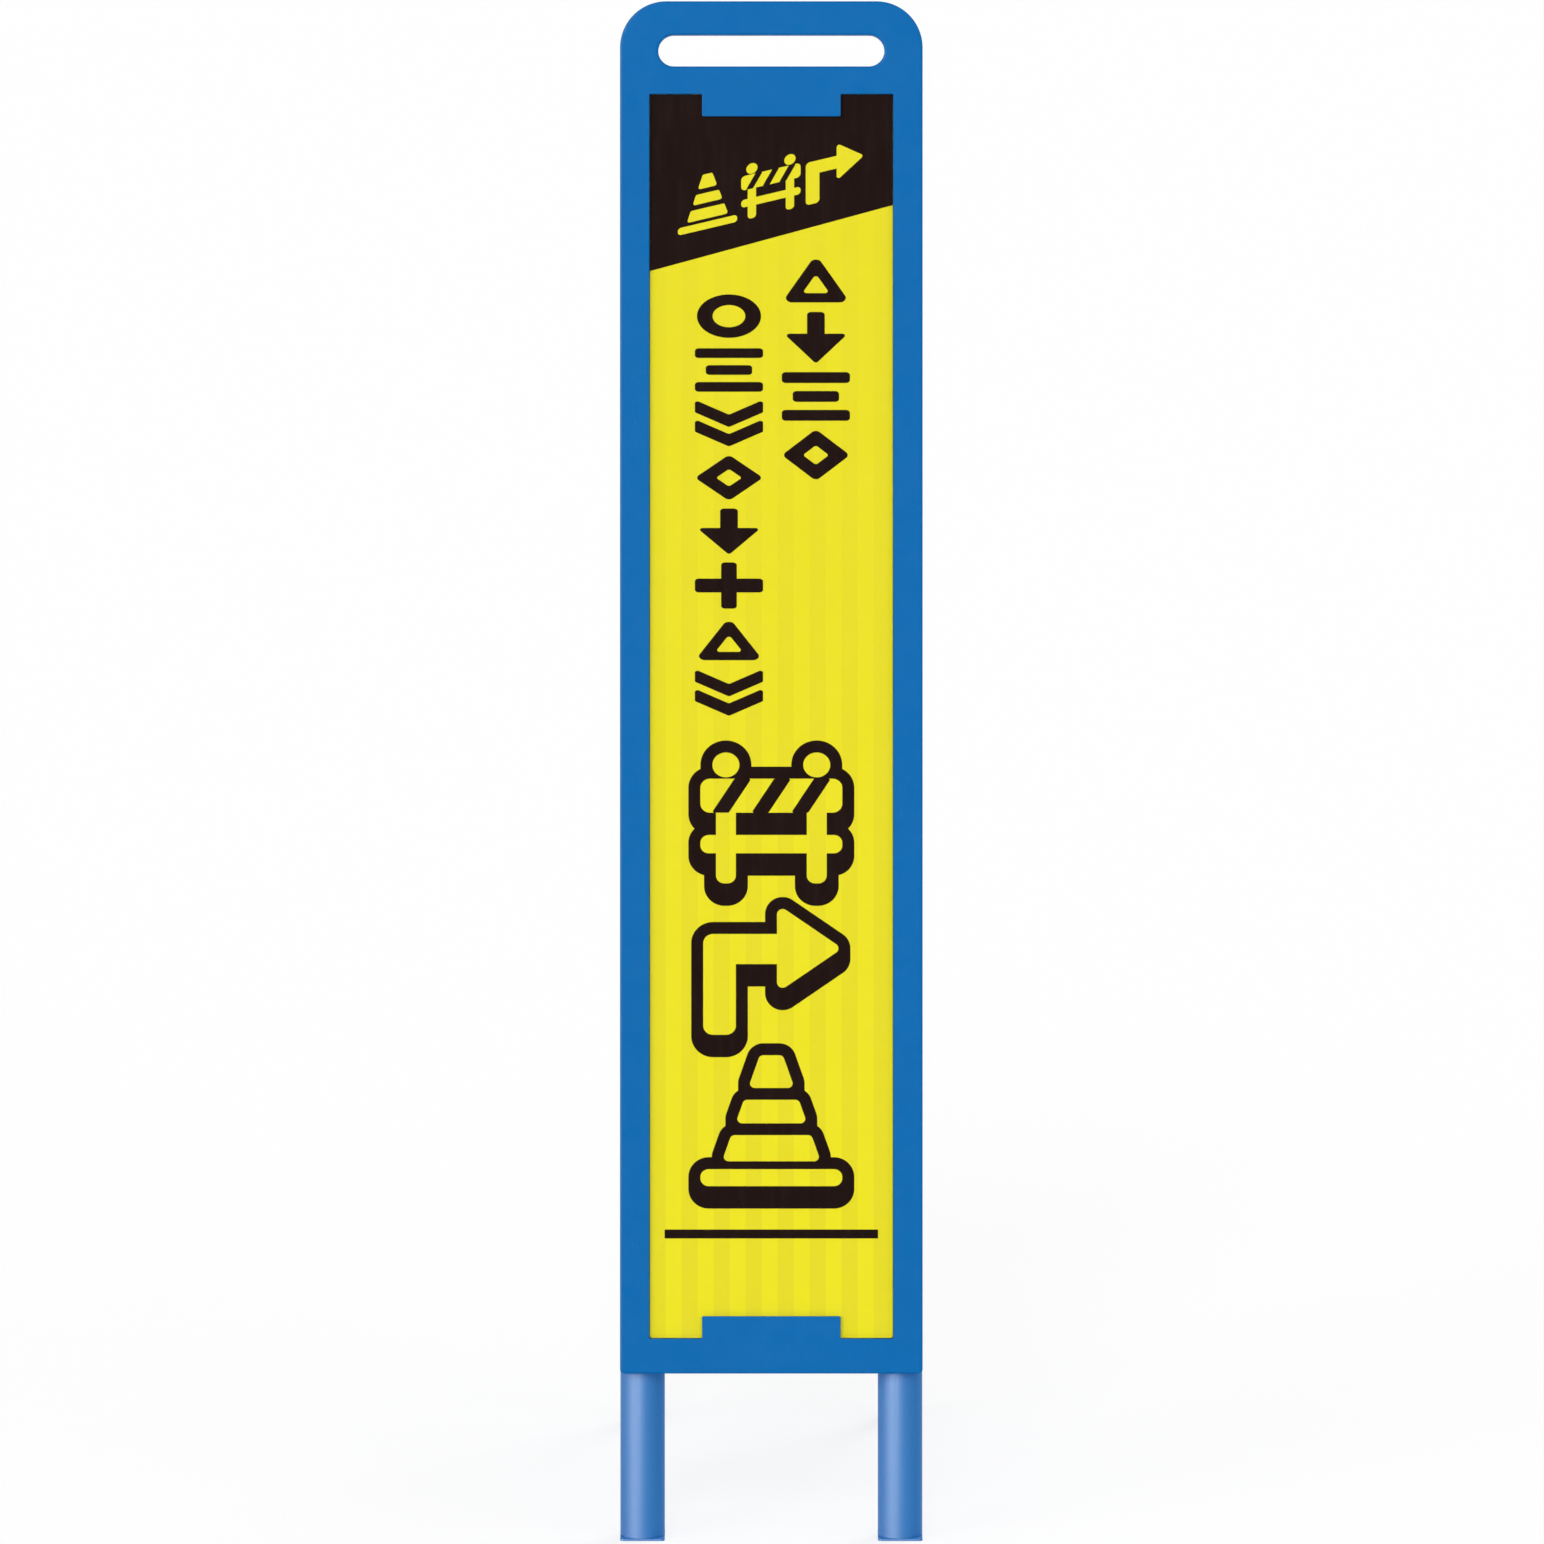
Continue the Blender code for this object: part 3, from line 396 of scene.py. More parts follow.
def stand_in(name, node, made, look=None, **settings):
    """A piece that takes the place of a CAD node, on the same body and with the look of that node's slot unless
    another look is given.
    """
    piece(name, made, look or LOOKS[SLOT[node]], BODY[node], node, SLOT[node], **settings)


# Finishes. Every coordinate is the piece's own, in metres along its body's axes.
BLUE = (0.001, 0.151, 0.458)
PAINT_BLUE = (0.001, 0.162, 0.49)
WORN_BLUE = (0.05, 0.24, 0.53)
PRIMER = (0.22, 0.23, 0.25)
YELLOW = (0.86, 0.765, 0.016)
LIGHT_YELLOW = (0.92, 0.835, 0.012)
INK = (0.0105, 0.003, 0.002)
WIPED_INK = (0.05, 0.045, 0.04)
WHITE = (0.72, 0.73, 0.72)
ZINC = (0.56, 0.58, 0.60)
COOL_ZINC = (0.55, 0.57, 0.60)
WARM_ZINC = (0.60, 0.585, 0.54)
PALE_ZINC = (0.72, 0.74, 0.76)
RUBBER = (0.018, 0.018, 0.019)
BLACK_PLUG = (0.022, 0.022, 0.024)
DUST = (0.16, 0.15, 0.135)


def feed(tree, socket, value):
    """Links a socket to another, or sets its value."""
    if isinstance(value, bpy.types.NodeSocket):
        tree.links.new(value, socket)
    else:
        socket.default_value = value


def add_node(tree, kind, inputs=(), output=0, **settings):
    """Adds a node and gives one of its outputs."""
    made = tree.nodes.new(kind)
    for key, value in settings.items():
        setattr(made, key, value)
    for key, value in dict(inputs).items():
        feed(tree, made.inputs[key], value)
    return made.outputs[output]


def tone(colour, by):
    return tuple(channel * by for channel in colour)


class Look:
    """A Principled material and the few calls that build its nodes."""

    def __init__(self, name, colour, roughness, metallic=0.0, specular=0.5):
        self.material = bpy.data.materials.new(name)
        self.material.use_nodes = True
        self.tree = self.material.node_tree
        self.shader = self.tree.nodes["Principled BSDF"]
        self.set("Base Color", (*colour, 1))
        self.set("Roughness", roughness)
        self.set("Metallic", metallic)
        self.set("Specular IOR Level", specular)
        self.place = self.node("ShaderNodeTexCoord", output="Object")

    def node(self, kind, inputs=(), output=0, **settings):
        return add_node(self.tree, kind, inputs, output, **settings)

    def set(self, key, value):
        feed(self.tree, self.shader.inputs[key], value)

    def calc(self, operation, first, second):
        return self.node("ShaderNodeMath", {0: first, 1: second}, operation=operation)

    def axis(self, name):
        return self.node("ShaderNodeSeparateXYZ", {0: self.place}, name)

    def mapped(self, scale, turn=0.0):
        """The place, turned in the plane of the face and stretched."""
        inputs = {"Vector": self.place, "Rotation": (0, turn, 0), "Scale": scale}
        return self.node("ShaderNodeMapping", inputs)

    def noise(self, scale, detail=2.0, vector=None):
        inputs = {"Vector": vector or self.place, "Scale": scale, "Detail": detail}
        return self.node("ShaderNodeTexNoise", inputs)

    def cells(self, scale, output, feature="F1", vector=None, random=1.0):
        inputs = {"Vector": vector or self.place, "Scale": scale, "Randomness": random}
        return self.node("ShaderNodeTexVoronoi", inputs, output, feature=feature)

    def remap(self, value, low, high, to_low, to_high):
        inputs = {"Value": value, "From Min": low, "From Max": high, "To Min": to_low, "To Max": to_high}
        return self.node("ShaderNodeMapRange", inputs)

    def uneven(self, scale, detail, low, high):
        """A noise that runs from a low to a high value."""
        return self.remap(self.noise(scale, detail), 0.3, 0.7, low, high)

    def mix(self, share, first, second):
        first, second = (c if isinstance(c, bpy.types.NodeSocket) else (*c, 1) for c in (first, second))
        return self.node("ShaderNodeMix", {0: share, 6: first, 7: second}, 2, data_type="RGBA")

    def clouds(self, scale, detail, colour, low, high):
        """A colour in shades between two multiples of itself."""
        return self.mix(self.noise(scale, detail), tone(colour, low), tone(colour, high))

    def marks(self, turn):
        """Thin marks that run one way in the plane of the face, here and there."""
        lines = self.remap(self.noise(700, 2, self.mapped((1, 1, 0.035), turn)), 0.64, 0.7, 0, 1)
        return self.calc("MULTIPLY", lines, self.remap(self.noise(8, 2), 0.5, 0.62, 0, 1))

    def scuffs(self, *turns):
        return self.calc("MAXIMUM", *(self.marks(turn) for turn in turns))

    def bump(self, height, depth, normal=None):
        """Depth is how high, in metres, a height of 1 stands."""
        inputs = {"Height": height, "Strength": 1.0, "Distance": depth}
        if normal:
            inputs["Normal"] = normal
        made = self.node("ShaderNodeBump", inputs)
        self.set("Normal", made)
        return made

    def rims(self, radius):
        """1 along outer and inner edges within a radius, 0 on open faces."""
        round_normal = self.node("ShaderNodeBevel", {"Radius": radius}, samples=4)
        normals = {0: round_normal, 1: self.node("ShaderNodeNewGeometry", output="Normal")}
        alike = self.node("ShaderNodeVectorMath", normals, "Value", operation="DOT_PRODUCT")
        return self.remap(alike, 0.97, 0.8, 0.0, 1.0)


def moulding_look(name, colour=BLUE, specular=0.03, roughness=0.36):
    """Moulded plastic: a fine pebble grain, faint clouds, a few scuffs, and edges rubbed a little paler."""
    look = Look(name, colour, roughness, specular=specular)
    plain = look.clouds(7, 3, colour, 0.96, 1.04)
    scuffs = look.scuffs(0.35, -0.9)
    rubbed = look.calc("MULTIPLY", look.rims(0.9 * MM), look.remap(look.noise(160, 4), 0.42, 0.68, 0, 0.4))
    worn = look.calc("MAXIMUM", rubbed, look.calc("MULTIPLY", scuffs, 0.16))
    look.set("Base Color", look.mix(worn, plain, WORN_BLUE))
    dull = look.uneven(60, 4, roughness - 0.06, roughness + 0.08)
    look.set("Roughness", look.calc("ADD", dull, look.calc("MULTIPLY", scuffs, -0.08)))
    grain = look.bump(look.cells(1250, "Distance"), 0.075 * MM)
    look.bump(look.noise(14, 2), 0.4 * MM, grain)
    return look.material


def paint_look():
    """Satin paint on steel tube: orange peel, hairlines, a few scuffs, and small chips along edges."""
    look = Look("paint", PAINT_BLUE, 0.58, specular=0.4)
    chips = look.calc("MULTIPLY", look.rims(0.6 * MM), look.remap(look.noise(330, 3), 0.55, 0.6, 0, 1))
    shade = look.clouds(9, 2, PAINT_BLUE, 0.95, 1.05)
    scuffs = look.scuffs(0.12, 1.1)
    scuffed = look.mix(look.calc("MULTIPLY", scuffs, 0.14), shade, WORN_BLUE)
    look.set("Base Color", look.mix(chips, scuffed, PRIMER))
    look.set("Metallic", look.calc("MULTIPLY", chips, 0.8))
    hairlines = look.remap(look.noise(900, 2, look.mapped((1, 1, 0.03))), 0.3, 0.75, 0.54, 0.62)
    look.set("Roughness", look.calc("ADD", hairlines, look.calc("MULTIPLY", scuffs, 0.1)))
    peel = look.bump(look.noise(380, 1), 0.1 * MM)
    look.bump(chips, -0.05 * MM, peel)
    return look.material


def zinc_look(name, roughness=0.36):
    """Zinc plate: faint spangle, brushed streaks along the piece and duller patches."""
    look = Look(name, ZINC, roughness, metallic=1.0)
    spangle = look.node("ShaderNodeSeparateColor", {0: look.cells(260, "Color")})
    plate = look.mix(look.noise(35, 3), COOL_ZINC, WARM_ZINC)
    look.set("Base Color", look.mix(look.calc("MULTIPLY", spangle, 0.18), plate, PALE_ZINC))
    streaks = look.noise(1500, 3, look.mapped((1, 1, 0.05)))
    patches = look.calc("MULTIPLY", look.noise(50, 4), 0.22)
    dull = look.calc("ADD", patches, look.calc("MULTIPLY", streaks, 0.12))
    look.set("Roughness", look.calc("ADD", dull, roughness - 0.17))
    look.bump(streaks, 0.012 * MM)
    return look.material


def rubber_look(name, colour=RUBBER, roughness=0.75):
    """Black rubber or plug plastic with a dry, dusty bloom."""
    look = Look(name, colour, roughness, specular=0.35)
    look.set("Base Color", look.mix(look.remap(look.noise(90, 5), 0.45, 0.8, 0, 0.22), colour, DUST))
    look.set("Roughness", look.uneven(200, 3, roughness - 0.08, roughness + 0.1))
    look.bump(look.noise(1400, 3), 0.03 * MM)
    return look.material


def nylon_look():
    look = Look("nylon", WHITE, 0.42)
    look.set("Base Color", look.clouds(120, 3, WHITE, 0.94, 1.03))
    look.set("Roughness", look.uneven(300, 2, 0.38, 0.48))
    look.set("Subsurface Weight", 0.15)
    look.set("Subsurface Scale", 1 * MM)
    look.bump(look.noise(900, 2), 0.02 * MM)
    return look.material


def board_look():
    """White twin-wall board: the flutes between its two skins show as fine vertical lines."""
    look = Look("board", WHITE, 0.45, specular=0.3)
    inputs = {"Vector": look.place, "Scale": 100.0, "Distortion": 0.0}
    flutes = look.node("ShaderNodeTexWave", inputs, 1, wave_type="BANDS", bands_direction="X")
    look.set("Base Color", look.mix(flutes, tone(WHITE, 0.93), WHITE))
    look.set("Roughness", look.uneven(80, 3, 0.4, 0.5))
    look.bump(flutes, 0.08 * MM)
    return look.material


# The film's pale bands, as wide as the gaps between them, fade from the foot of the board to its header.
BAND_PITCH = 29.09 * MM
BAND_WIDTH = 14.5 * MM
BAND_CENTRE = -1.6 * MM
BAND_BLUR = 0.2 * MM
BAND_STRENGTH = (0.95, 0.12)
CELL_PITCH = 2.6 * MM


def film_look():
    """Yellow prismatic film: pale vertical bands and a fine lattice of diamond cells."""
    look = Look("film", YELLOW, 0.32, specular=0.06)
    from_centre = look.calc("SUBTRACT", look.axis("X"), BAND_CENTRE - BAND_PITCH / 2)
    along = look.calc("PINGPONG", from_centre, BAND_PITCH / 2)
    half_gap = (BAND_PITCH - BAND_WIDTH) / 2
    band = look.remap(along, half_gap - BAND_BLUR, half_gap + BAND_BLUR, 0, 1)
    fade = look.remap(look.axis("Z"), film_low.z, film_high.z, *BAND_STRENGTH)
    yellow = look.mix(look.calc("MULTIPLY", band, fade), YELLOW, LIGHT_YELLOW)
    diamonds = look.mapped((1, 0, 1), radians(45))
    lattice = look.cells(1 / CELL_PITCH, "Distance", "DISTANCE_TO_EDGE", diamonds, 0.0)
    seams = look.remap(lattice, 0.03, 0.09, 1, 0)
    toned = look.mix(look.calc("MULTIPLY", seams, 0.07), yellow, tone(YELLOW, 0.55))
    look.set("Base Color", look.mix(look.uneven(12, 3, 0, 0.03), toned, tone(YELLOW, 0.8)))
    look.set("Roughness", look.uneven(45, 4, 0.28, 0.38))
    look.bump(seams, -0.02 * MM)
    return look.material


def ink_look():
    """Screen-printed black: satin, with faint wipe marks."""
    look = Look("ink", INK, 0.36, specular=0.02)
    wipes = look.noise(220, 4, look.mapped((1, 1, 0.12)))
    look.set("Base Color", look.mix(look.remap(wipes, 0.5, 0.8, 0, 0.05), INK, WIPED_INK))
    look.set("Roughness", look.remap(wipes, 0.3, 0.7, 0.33, 0.44))
    look.bump(look.noise(1300, 2), 0.008 * MM)
    return look.material


zinc = zinc_look("zinc")
ink = ink_look()
LOOKS = {
    "blue_moulding": moulding_look("moulding"),
    "blue_plug": moulding_look("plug", PAINT_BLUE, 0.38, 0.56),
    "blue_painted_steel": paint_look(),
    "zinc_steel": zinc_look("bright_zinc", 0.28),
    "black_rubber": rubber_look("rubber"),
    "black_plug": rubber_look("black_plug", BLACK_PLUG, 0.5),
    "nylon_washer": nylon_look(),
    "white_board": board_look(),
    "yellow_film": film_look(),
}


# Front moulding.
def rows(low, high):
    """Splits a length into equal pockets with a rib between each two."""
    count = ceil((high - low + RIB) / (LONGEST_POCKET + RIB))
    pitch = (high - low + RIB) / count
    return [(low + index * pitch, low + (index + 1) * pitch - RIB) for index in range(count)]


def window_outline():
    """The opening in front of the board, notched by the two tabs that hold it."""
    tab = TAB_WIDTH / 2
    left = [(-recess_half, 0, 1 * MM), (-tab, 0, 1 * MM), (-tab, TAB_REACH, 1.2 * MM)]
    row = left + [(-a, reach, radius) for a, reach, radius in left[::-1]]
    lower = [(a, recess_low + reach, radius) for a, reach, radius in row]
    return soft(lower + [(a, recess_high - reach, radius) for a, reach, radius in row[::-1]])


def back_pockets():
    """Pockets behind the board, which leave ribs and a pad for the rail, and the ejector marks in them."""
    pockets, marks = bmesh.new(), bmesh.new()
    groove_half = sqrt(GROOVE_RADIUS**2 - (TUBE_DEPTH - BACK) ** 2)
    side = TUBE_X - groove_half - GROOVE_LAND
    rail_low, rail_high = local_box("guide_rail")[:2]
    pad = rail_high.x + 14 * MM
    pad_low, pad_high = rail_low.z - 10 * MM, rail_high.z + 10 * MM
    layers = pocket(BACK, POCKET_FLOOR)
    for low, high in rows(face_low.z + 4 * MM, pad_low - RIB) + rows(pad_high + RIB, slot_low - 8 * MM):
        for left, right in ((-side, -pad), (RIB - pad, pad - RIB), (pad, side)):
            slab(rectangle(left, right, low, high, 3 * MM), layers, bm=pockets)
            for share in (0.22, 0.78):
                at = shift((left + right) / 2, 0, low + (high - low) * share) @ TO_BACK
                rod(EJECT_RADIUS, POCKET_FLOOR - EJECT_DEPTH, POCKET_FLOOR + OVER, at, 32, marks)
    for low, high in rows(pad_low, pad_high):
        for left, right in ((-side, -pad), (pad, side)):
            slab(rectangle(left, right, low, high, 3 * MM), layers, bm=pockets)
    return pockets, marks


def rail_pockets():
    """The side rails are hollow from behind, with a block at each upright screw."""
    pockets = bmesh.new()
    heights = [local_box(node)[2].z for node in UPRIGHT_SCREWS[:3]]
    blocks = [face_low.z + SKIN - SCREW_BLOCK / 2, *heights, tube_high.z]
    layers = pocket(BACK, FACE + SKIN, 0.4 * MM, 0.8 * MM)
    for first, last in zip(blocks, blocks[1:]):
        for low, high in rows(first + SCREW_BLOCK / 2, last - SCREW_BLOCK / 2):
            for left, right in ((recess_half + SKIN, HALF - SKIN), (SKIN - HALF, -recess_half - SKIN)):
                slab(rectangle(left, right, low, high, 1.5 * MM), layers, bm=pockets)
    return pockets


def frame_holes():
    holes = bmesh.new()
    kinds = (UPRIGHT_SCREWS, UPRIGHT_SCREW, TUBE_DEPTH), (RAIL_SCREWS, RAIL_SCREW, BACK + OVER)
    for nodes, radius, last in kinds:
        for node in nodes:
            drill(holes, node, radius, local_box(node)[0].y - 0.5 * MM, last)
    return holes


def make_frame():
    outline = rectangle(-HALF, HALF, face_low.z, face_high.z, FOOT_CORNER, CORNER, 26)
    body = slab(outline, rounded_slab(FACE, BACK, FRAME_EDGE, 0.8 * MM))
    half = SLOT_WIDTH / 2
    pill = rectangle(-half, half, slot_low, slot_high, SLOT_HEIGHT / 2 - 0.01 * MM, steps=16)
    slot = slab(pill, through_slot(FACE, BACK, FRAME_EDGE))
    mouth = [(FACE - OVER, RIM)] + edge(FACE, RIM, 1, 1) + [(FACE + TAB_THICKNESS, 0)]
    window = slab(window_outline(), mouth)
    behind_tabs = rectangle(-recess_half, recess_half, recess_low, recess_high, 1 * MM)
    seat = slab(behind_tabs, [(FACE + TAB_THICKNESS - 0.02 * MM, 0), (FACE + RECESS_DEPTH, 0)])
    grooves = bmesh.new()
    for _, side in SIDES:
        at = shift(side * TUBE_X, TUBE_DEPTH, 0)
        rod(GROOVE_RADIUS, face_low.z - OVER, tube_high.z + 2.6 * MM, at, ROUND, grooves)
    pockets, marks = back_pockets()
    cutters = (slot, window, seat, grooves, pockets, rail_pockets(), frame_holes(), marks)
    stand_in("front_moulding", "front_frame", carve(body, cutters), even=True, plumb=True)


# Board and printed film, which is trimmed flush with the board.
TRIM = 0.1 * MM
FILM_HALF = board_high.x - TRIM
FILM_LOW = board_low.z + TRIM
FILM_HIGH = board_high.z - TRIM


def make_board():
    half = board_high.x
    outline = rectangle(-half, half, board_low.z, board_high.z, 2 * MM)
    panel = slab(outline, rounded_slab(board_low.y, board_high.y, 0.3 * MM))
    stand_in("board_panel", "sign_board", panel, even=True)
    outline = rectangle(-FILM_HALF, FILM_HALF, FILM_LOW, FILM_HIGH, 2 * MM)
    sheet = slab(outline, rounded_slab(film_low.y, film_high.y, 0.05 * MM))
    stand_in("printed_film", "reflective_sheet", sheet, even=True)


# Generic road works signs printed on the film, drawn as filled and cut outlines in a unit cell.
PRINT = 0.07 * MM
BLACK_LAYER = film_low.y - 0.02 * MM
YELLOW_LAYER = BLACK_LAYER - PRINT - 0.02 * MM


def poly(*points, radius=0.04):
    return counter_clockwise(soft([(a, b, radius) for a, b in points], steps=14))


def bar(left, low, right, high, radius=0.06):
    return poly((left, low), (right, low), (right, high), (left, high), radius=radius)


def band(low, high):
    wide, thin = (0.345 - 0.33 * (height + 0.3) for height in (low, high))
    return poly((-wide, low), (wide, low), (thin, high), (-thin, high), radius=0.035)


def post(x):
    return [bar(x - 0.07, -0.5, x + 0.07, 0.1), circle(0.095, 56, (x, 0.405))]


def stripe(x):
    return poly((x, 0.04), (x + 0.12, 0.04), (x + 0.28, 0.3), (x + 0.16, 0.3), radius=0.01)


def chevron(top):
    ends = [(-0.5, top), (0, top - 0.32), (0.5, top)]
    return poly(*ends, *((a, b - 0.27) for a, b in ends[::-1]))


def diamond(reach, radius=0.04):
    return poly((reach, 0), (0, reach), (-reach, 0), (0, -reach), radius=radius)


CONE = [band(-0.31, -0.11), band(-0.02, 0.16), band(0.25, 0.5), bar(-0.5, -0.5, 0.5, -0.37)], []
BARRIER = (
    [bar(-0.5, 0.04, 0.5, 0.3, 0.07), bar(-0.5, -0.27, 0.5, -0.13), *post(-0.32), *post(0.32)],
    [stripe(-0.42), stripe(-0.14), stripe(0.14)],
)
SHAFT = [bar(-0.48, -0.5, -0.25, 0.27, 0.07), bar(-0.48, 0.04, 0.12, 0.27, 0.07)]
TURN = [*SHAFT, poly((0.04, 0.5), (0.04, -0.18), (0.5, 0.16))], []
ARROW = [bar(-0.13, -0.15, 0.13, 0.5), poly((-0.47, 0.08), (0.47, 0.08), (0, -0.5))], []
CHEVRON = [chevron(0.52), chevron(0.1)], []
TRIANGLE = poly((-0.5, -0.45), (0.5, -0.45), (0, 0.48), radius=0.09)
WARNING = [TRIANGLE], [poly((-0.2, -0.27), (0.2, -0.27), (0, 0.1))]
RING = [circle(0.47)], [circle(0.24)]
DIAMOND = [diamond(0.5, 0.08)], [diamond(0.19)]
BARS = [bar(-0.5, 0.26, 0.5, 0.47), bar(-0.34, -0.105, 0.34, 0.105), bar(-0.5, -0.47, 0.5, -0.26)], []
CROSS = [bar(-0.5, -0.15, 0.5, 0.15), bar(-0.115, -0.5, 0.115, 0.5)], []

# The header is black down to a slanting edge, with three sheared signs.
HEADER_LEFT = 1151.2 * MM
HEADER_RIGHT = 1211.2 * MM
HEADER_SLOPE = 0.236
HEADER_FIRST = (-58 * MM, 1214.8 * MM)
HEADER_PITCH = 57.6 * MM
HEADER_SIGN = (54 * MM, 50 * MM)
HEADER_CORNER = 1.7 * MM
PRINT_GAP = 0.06 * MM
# Two columns of black signs: the middle across, the height of the first, the pitch and the size.
RIGHT_COLUMN = (40.5 * MM, 1143.9 * MM, 53.3 * MM, (62 * MM, 47 * MM))
LEFT_COLUMN = (-38.5 * MM, 1110.3 * MM, 48.97 * MM, (62 * MM, 42 * MM))
# Three big yellow signs with a black border that hangs lower than they do, and a bar below them.
BIG_COLUMN = (0, 654.2 * MM, 137.6 * MM, (129 * MM, 119 * MM))
BORDER = 10.9 * MM
DROP = 9.5 * MM
DROP_STEPS = 4
LINE_HALF = 97 * MM
LINE_LOW = 272 * MM
LINE_HIGH = 280.1 * MM
# These heights are counted from the level of the tubes' axes at the road, as the frame's own are.
ROAD = face_low.z - 149.23 * MM


def draw(bm, filled, cut, layer):
    """Prints the union of the filled outlines less the cut ones, as a thin body in front of a layer."""
    points, faces = [], []
    for outline in filled + cut:
        faces.append(list(range(len(points), len(points) + len(outline))))
        points += outline
    found = delaunay_2d_cdt(points, [], faces, 1, 1e-6)
    kept = [face for face, origins in zip(found[2], found[5]) if origins and max(origins) < len(filled)]
    sheet = bmesh.new()
    used = {index: sheet.verts.new(on_face(*found[0][index], layer)) for face in kept for index in face}
    for face in kept:
        sheet.faces.new([used[index] for index in face])
    bmesh.ops.dissolve_limit(sheet, angle_limit=STRAIGHT, verts=sheet.verts, edges=sheet.edges)
    grown = bmesh.ops.extrude_face_region(sheet, geom=sheet.faces, use_keep_orig=True)["geom"]
    for element in grown:
        if isinstance(element, bmesh.types.BMVert):
            element.co.y -= PRINT
    clean(sheet)
    helper = to_mesh("sheet", sheet, outward=False)
    bm.from_mesh(helper)
    bpy.data.meshes.remove(helper)


def placed(sign, x, z, size, shear=0.0):
    """A unit sign at its real size, with its middle at x and z."""

    def real(point):
        along = point.x * size[0]
        return Vector((x + along, z + point.y * size[1] + shear * along))

    return [[[real(point) for point in outline] for outline in group] for group in sign]


def column(signs, x, top, pitch, size):
    return [placed(sign, x, ROAD + top - index * pitch, size) for index, sign in enumerate(signs)]


def print_piece(name, shapes, look, layer, slot=None):
    bm = bmesh.new()
    for filled, cut in shapes:
        draw(bm, filled, cut, layer)
    piece(name, bm, look, "sign_frame", slot=slot)


def print_black(name, shapes):
    print_piece(name, shapes, ink, BLACK_LAYER)


def print_yellow(name, shapes):
    print_piece(name, shapes, LOOKS["yellow_film"], YELLOW_LAYER, "yellow_film")


def make_print():
    half, top = FILM_HALF - PRINT_GAP, FILM_HIGH - PRINT_GAP
    slant = [(-half, ROAD + HEADER_LEFT, 0), (half, ROAD + HEADER_RIGHT, 0)]
    header = soft(slant + [(half, top, HEADER_CORNER), (-half, top, HEADER_CORNER)])
    print_black("print_header", [([header], [])])
    signs = []
    for index, sign in enumerate((CONE, BARRIER, TURN)):
        along = index * HEADER_PITCH
        x, z = HEADER_FIRST[0] + along, ROAD + HEADER_FIRST[1] + along * HEADER_SLOPE
        signs.append(placed(sign, x, z, HEADER_SIGN, HEADER_SLOPE))
    print_yellow("print_header_signs", signs)
    print_black("print_right_column", column((WARNING, ARROW, BARS, DIAMOND), *RIGHT_COLUMN))
    left = (RING, BARS, CHEVRON, DIAMOND, ARROW, CROSS, WARNING, CHEVRON)
    print_black("print_left_column", column(left, *LEFT_COLUMN))

    signs = column((BARRIER, TURN, CONE), *BIG_COLUMN)
    borders = []
    for filled, _ in signs:
        for outline in filled:
            wide = spread(outline, BORDER)
            drops = [Vector((0, DROP * step / DROP_STEPS)) for step in range(DROP_STEPS + 1)]
            borders += [[point - drop for point in wide] for drop in drops]
    print_black("print_big_borders", [(borders, [])])
    print_yellow("print_big_signs", signs)
    line = rectangle(-LINE_HALF, LINE_HALF, ROAD + LINE_LOW, ROAD + LINE_HIGH, 0.3 * MM)
    print_black("print_line", [([line], [])])


# Uprights with their caps and feet.
SLOPE = tan(LEAN)
FLANGE = 2 * MM / cos(LEAN)
STEM = TUBE_RADIUS - TUBE_WALL - FIT


def make_upright(name, at, foot):
    node = name + "_upright"
    low = foot + FLANGE + FIT / cos(LEAN)
    body = tube(low, tube_high.z, TUBE_RADIUS, TUBE_WALL, 0.2 * MM)
    level(body, SLOPE, low + 10 * MM, low + 20 * MM, at)
    through, behind = bmesh.new(), bmesh.new()
    for spot in SPOTS:
        drill(through, f"{node}_screw_{spot}", UPRIGHT_SCREW, FACE, BEHIND)
    for spot in ENDS:
        drill(behind, f"{name}_bracket_screw_{spot}", BRACKET_SCREW, TUBE_DEPTH, BEHIND)
    drill(behind, name + "_fold_bumper", BUMPER_STEM, TUBE_DEPTH, BEHIND)
    stand_in(node + "_tube", node, carve(body, (through, behind)), plumb=True)


def make_front_foot(name, at, foot, top):
    """A plug with a square flange on the road and a hollow stem in the tube."""
    node = name + "_front_foot"
    over = foot + FLANGE
    square = rectangle(-TUBE_RADIUS, TUBE_RADIUS, -TUBE_RADIUS, TUBE_RADIUS, 3 * MM)
    flange = slab(square, rounded_slab(foot, over, 0.3 * MM), upright)
    hollow = STEM - 2.5 * MM
    profile = (
        (STEM, over - 0.2 * MM, 0),
        (STEM, top - 1 * MM, 0.8 * MM),
        (hollow, top, 0.5 * MM),
        (hollow, over + 1 * MM, 0),
    )
    stem = lathe(profile, count=ROUND)
    for part in (flange, stem):
        level(part, SLOPE, over, top - 4 * MM, at)
    stand_in(node + "_plug", node, carve(flange, [stem], "UNION"), even=True, plumb=True)


